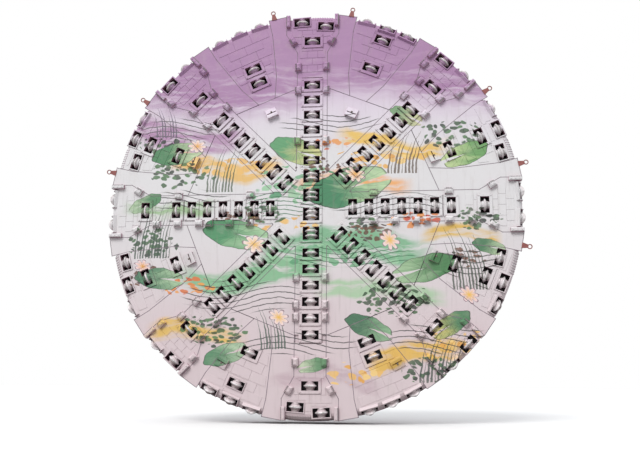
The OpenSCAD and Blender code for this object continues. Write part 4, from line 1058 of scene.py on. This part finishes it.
# Ring welds: sections of places along the axis, which is Y, and radii
RING_WELDS = {
    "rim_ring_weld": ((-3.312, 8.016), (-3.300, 8.030), (-3.288, 8.016)),
    "drum_weld": ((-2.004, 1.300), (-2.004, 1.336), (-1.976, 1.300)),
    "drum_flange_weld": ((-1.278, 1.330), (-1.278, 1.300), (-1.304, 1.300)),
}
# Legs: inner radius, outer radius at the flange and at the spokes, width
LEG = (2.890, 3.510, 3.940, 0.900)
LEG_WELD, LEG_WELD_OFF = 0.034, 0.015
# Bolts: radius and angles, in a full circle and in threes between the legs
BOLT_CIRCLES = (
    (3.585, [3.75 * k for k in range(96)]),
    (3.020, [angle + k for angle in SPOKES for k in (19.5, 22.5, 25.5)]),
)
FLANGE_BOLT = (0.060, 0.042)  # width over flats, radius of the washer
TEETH = 180
TOOTH = ((0.420, 0.066), (0.410, 0.030), 0.056)  # foot and tip as length and width, height
GEAR_ROOT = 2.856
GEAR_MIDDLE = 0.300

for name, section in RING_WELDS.items():
    piece(name, spread(turned(section, 128 if "rim" in name else 96), AXIS), primer, "head")
for name, outer, height, flip in (
    ("leg_foot_welds", LEG[1], FLANGE_FRONT, 1.0), ("leg_top_welds", LEG[2], SPOKE_BACK, -1.0)
):
    flip = np.diag((1.0, flip, flip))
    feet = [spot(angle, (LEG[0] + outer) / 2, height, flip) for angle in SPOKES]
    weld = bead(outer - LEG[0] + 2 * LEG_WELD_OFF, LEG[3] + 2 * LEG_WELD_OFF, LEG_WELD)
    piece(name, spread(weld, feet), primer, "head")

# Phosphated bolts, oiled when they went in: near black, and brown in patches where the oil dried.
bolt_steel = mottled("phosphated_bolts", 6.0, 5.0, "#3E3D3C", "#75655A", Metallic=0.7, Roughness=0.5)
bolt_places = [spot(angle, radius, FLANGE_FRONT) for radius, angles in BOLT_CIRCLES for angle in angles]
piece("flange_bolts", spread(hex_bolt(*FLANGE_BOLT), bolt_places), bolt_steel, "head", smooth=False)

inwards = np.array(((0.0, 0.0, 1.0), (0.0, 1.0, 0.0), (-1.0, 0.0, 0.0)))
gear_places = [spot(k * 360 / TEETH, GEAR_ROOT, GEAR_MIDDLE, inwards) for k in range(TEETH)]
piece("gear_teeth", spread(frustum(*TOOTH), gear_places), turned_steel, "head", smooth=False)


# Flushing water lines: seamless pipe from the drum to the root of every auxiliary spoke, bent
# before it goes in, with a bolted pair of flanges on each length.
PIPE = 0.057
PIPE_DEPTH = 1.620
PIPE_START, PIPE_BEND, PIPE_END = 1.290, 4.750, 2.080
BEND_RADIUS = 0.2
PIPE_JOINTS = (2.05, 3.75)
PIPE_FLANGES = (
    (-0.026, 0.050), (-0.026, 0.105), (-0.002, 0.105), (-0.002, 0.098),
    (0.002, 0.098), (0.002, 0.105), (0.026, 0.105), (0.026, 0.050),
)
# Nuts: radii and heights of one, the radius of their circle, and how far they lie from the joint
NUT = ((0.017, 0.0), (0.017, 0.016), (0.014, 0.020))
NUT_CIRCLE, NUT_OFF = 0.083, 0.025


def tube(way, radius, sides):
    """Carries a circle along a path in the plane of the first and third direction: each ring lies
    square to the path, at the radius times the cosine and sine of the turn, and the ends are closed."""
    heading = np.gradient(way, axis=0)
    heading /= np.linalg.norm(heading, axis=1)[:, None]
    turns = np.arange(sides) * math.tau / sides
    across, side = radius * np.cos(turns), np.broadcast_to(radius * np.sin(turns), (len(way), sides))
    points = np.stack((way[:, :1] - heading[:, 1:] * across, side, way[:, 1:] + heading[:, :1] * across), -1)
    last = (len(way) - 1) * sides
    faces = quads(len(way), sides)[:last].tolist()
    return points.reshape(-1, 3), [*faces, tuple(range(sides)), tuple(range(last, last + sides))[::-1]]


turns = np.linspace(0, math.pi / 2, 7)
bend = np.stack((PIPE_BEND + BEND_RADIUS * np.sin(turns), PIPE_DEPTH + BEND_RADIUS * (1 - np.cos(turns))), -1)
way = np.concatenate((((PIPE_START, PIPE_DEPTH),), bend, ((PIPE_BEND + BEND_RADIUS, PIPE_END),)))
flanges = [shifted(turned(PIPE_FLANGES, 24), (at, 0.0, PIPE_DEPTH)) for at in PIPE_JOINTS]
pipe_places = [spot(angle, 0.0, 0.0) for angle, _ in BRANCHES]
piece("flushing_pipes", spread(joined(tube(way, PIPE, 14), *flanges), pipe_places), primer, "head")

turns = (np.arange(8) + 0.5) * math.tau / 8
spots = [
    (at + NUT_OFF, NUT_CIRCLE * math.cos(a), PIPE_DEPTH + NUT_CIRCLE * math.sin(a))
    for at in PIPE_JOINTS for a in turns
]
piece("pipe_nuts", spread(stack(NUT, 6), moved(pipe_places, spots, NEXT)), bolt_steel, "head", smooth=False)


# Manhole covers on the tapered backs of the main spokes: flat plate on a raised frame, closed with
# twelve bolts and lifted by a bent round bar.
HATCH_RADIUS = 5.900
HATCH = (0.620, 0.520)
HATCH_FRAME = (0.080, 0.050, 0.018)  # how much wider at its foot and its top, height
HATCH_COVER = (0.012, 0.034, 0.012)  # bevel, thickness, height of its underside
HATCH_FACE = 0.044
HATCH_BOLT = (0.036, 0.024)
# Bolts along the long edges and along the short ones: places along, distance off the middle
LONG_EDGE = ((-0.25, -0.083, 0.083, 0.25), 0.215)
SHORT_EDGE = ((-0.08, 0.08), 0.27)
# The spokes' backs rise from TAPER_START outwards, by the first for each of the second
TAPER_START = 4.750
TAPER = (0.350, 3.000)
HANDLE = (0.09, 0.07, 0.011)  # half its width, height, radius of the bar

slope = math.atan2(*TAPER)
c, s = math.cos(slope), math.sin(slope)
depth = SPOKE_BACK + (HATCH_RADIUS - TAPER_START) * math.tan(slope)
on_taper = np.array(((c, 0.0, s), (0.0, -1.0, 0.0), (s, 0.0, -c)))
hatch_places = [spot(angle, HATCH_RADIUS, depth, on_taper) for angle in SPOKES]
size = np.array(HATCH)
hatch_frame = frustum(size + HATCH_FRAME[0], size + HATCH_FRAME[1], HATCH_FRAME[2])
cover = shifted(frustum(size, size - HATCH_COVER[0], HATCH_COVER[1]), (0.0, 0.0, HATCH_COVER[2]))
piece("manhole_covers", spread(joined(hatch_frame, cover), hatch_places), primer, "head", smooth=False)
spots = [(x, side * LONG_EDGE[1], HATCH_FACE) for x in LONG_EDGE[0] for side in (-1, 1)]
spots += [(side * SHORT_EDGE[1], y, HATCH_FACE) for side in (-1, 1) for y in SHORT_EDGE[0]]
bolts = spread(hex_bolt(*HATCH_BOLT), moved(hatch_places, spots))
piece("manhole_bolts", bolts, bolt_steel, "head", smooth=False)
arc = np.linspace(0, math.pi, 9)
way = np.stack((HANDLE[0] * np.cos(arc), HANDLE[1] * np.sin(arc)), -1)
handle = shifted(tube(way, HANDLE[2], 8), (0.0, 0.0, HATCH_FACE - SUNK))
piece("manhole_handles", spread(handle, hatch_places), bolt_steel, "head")
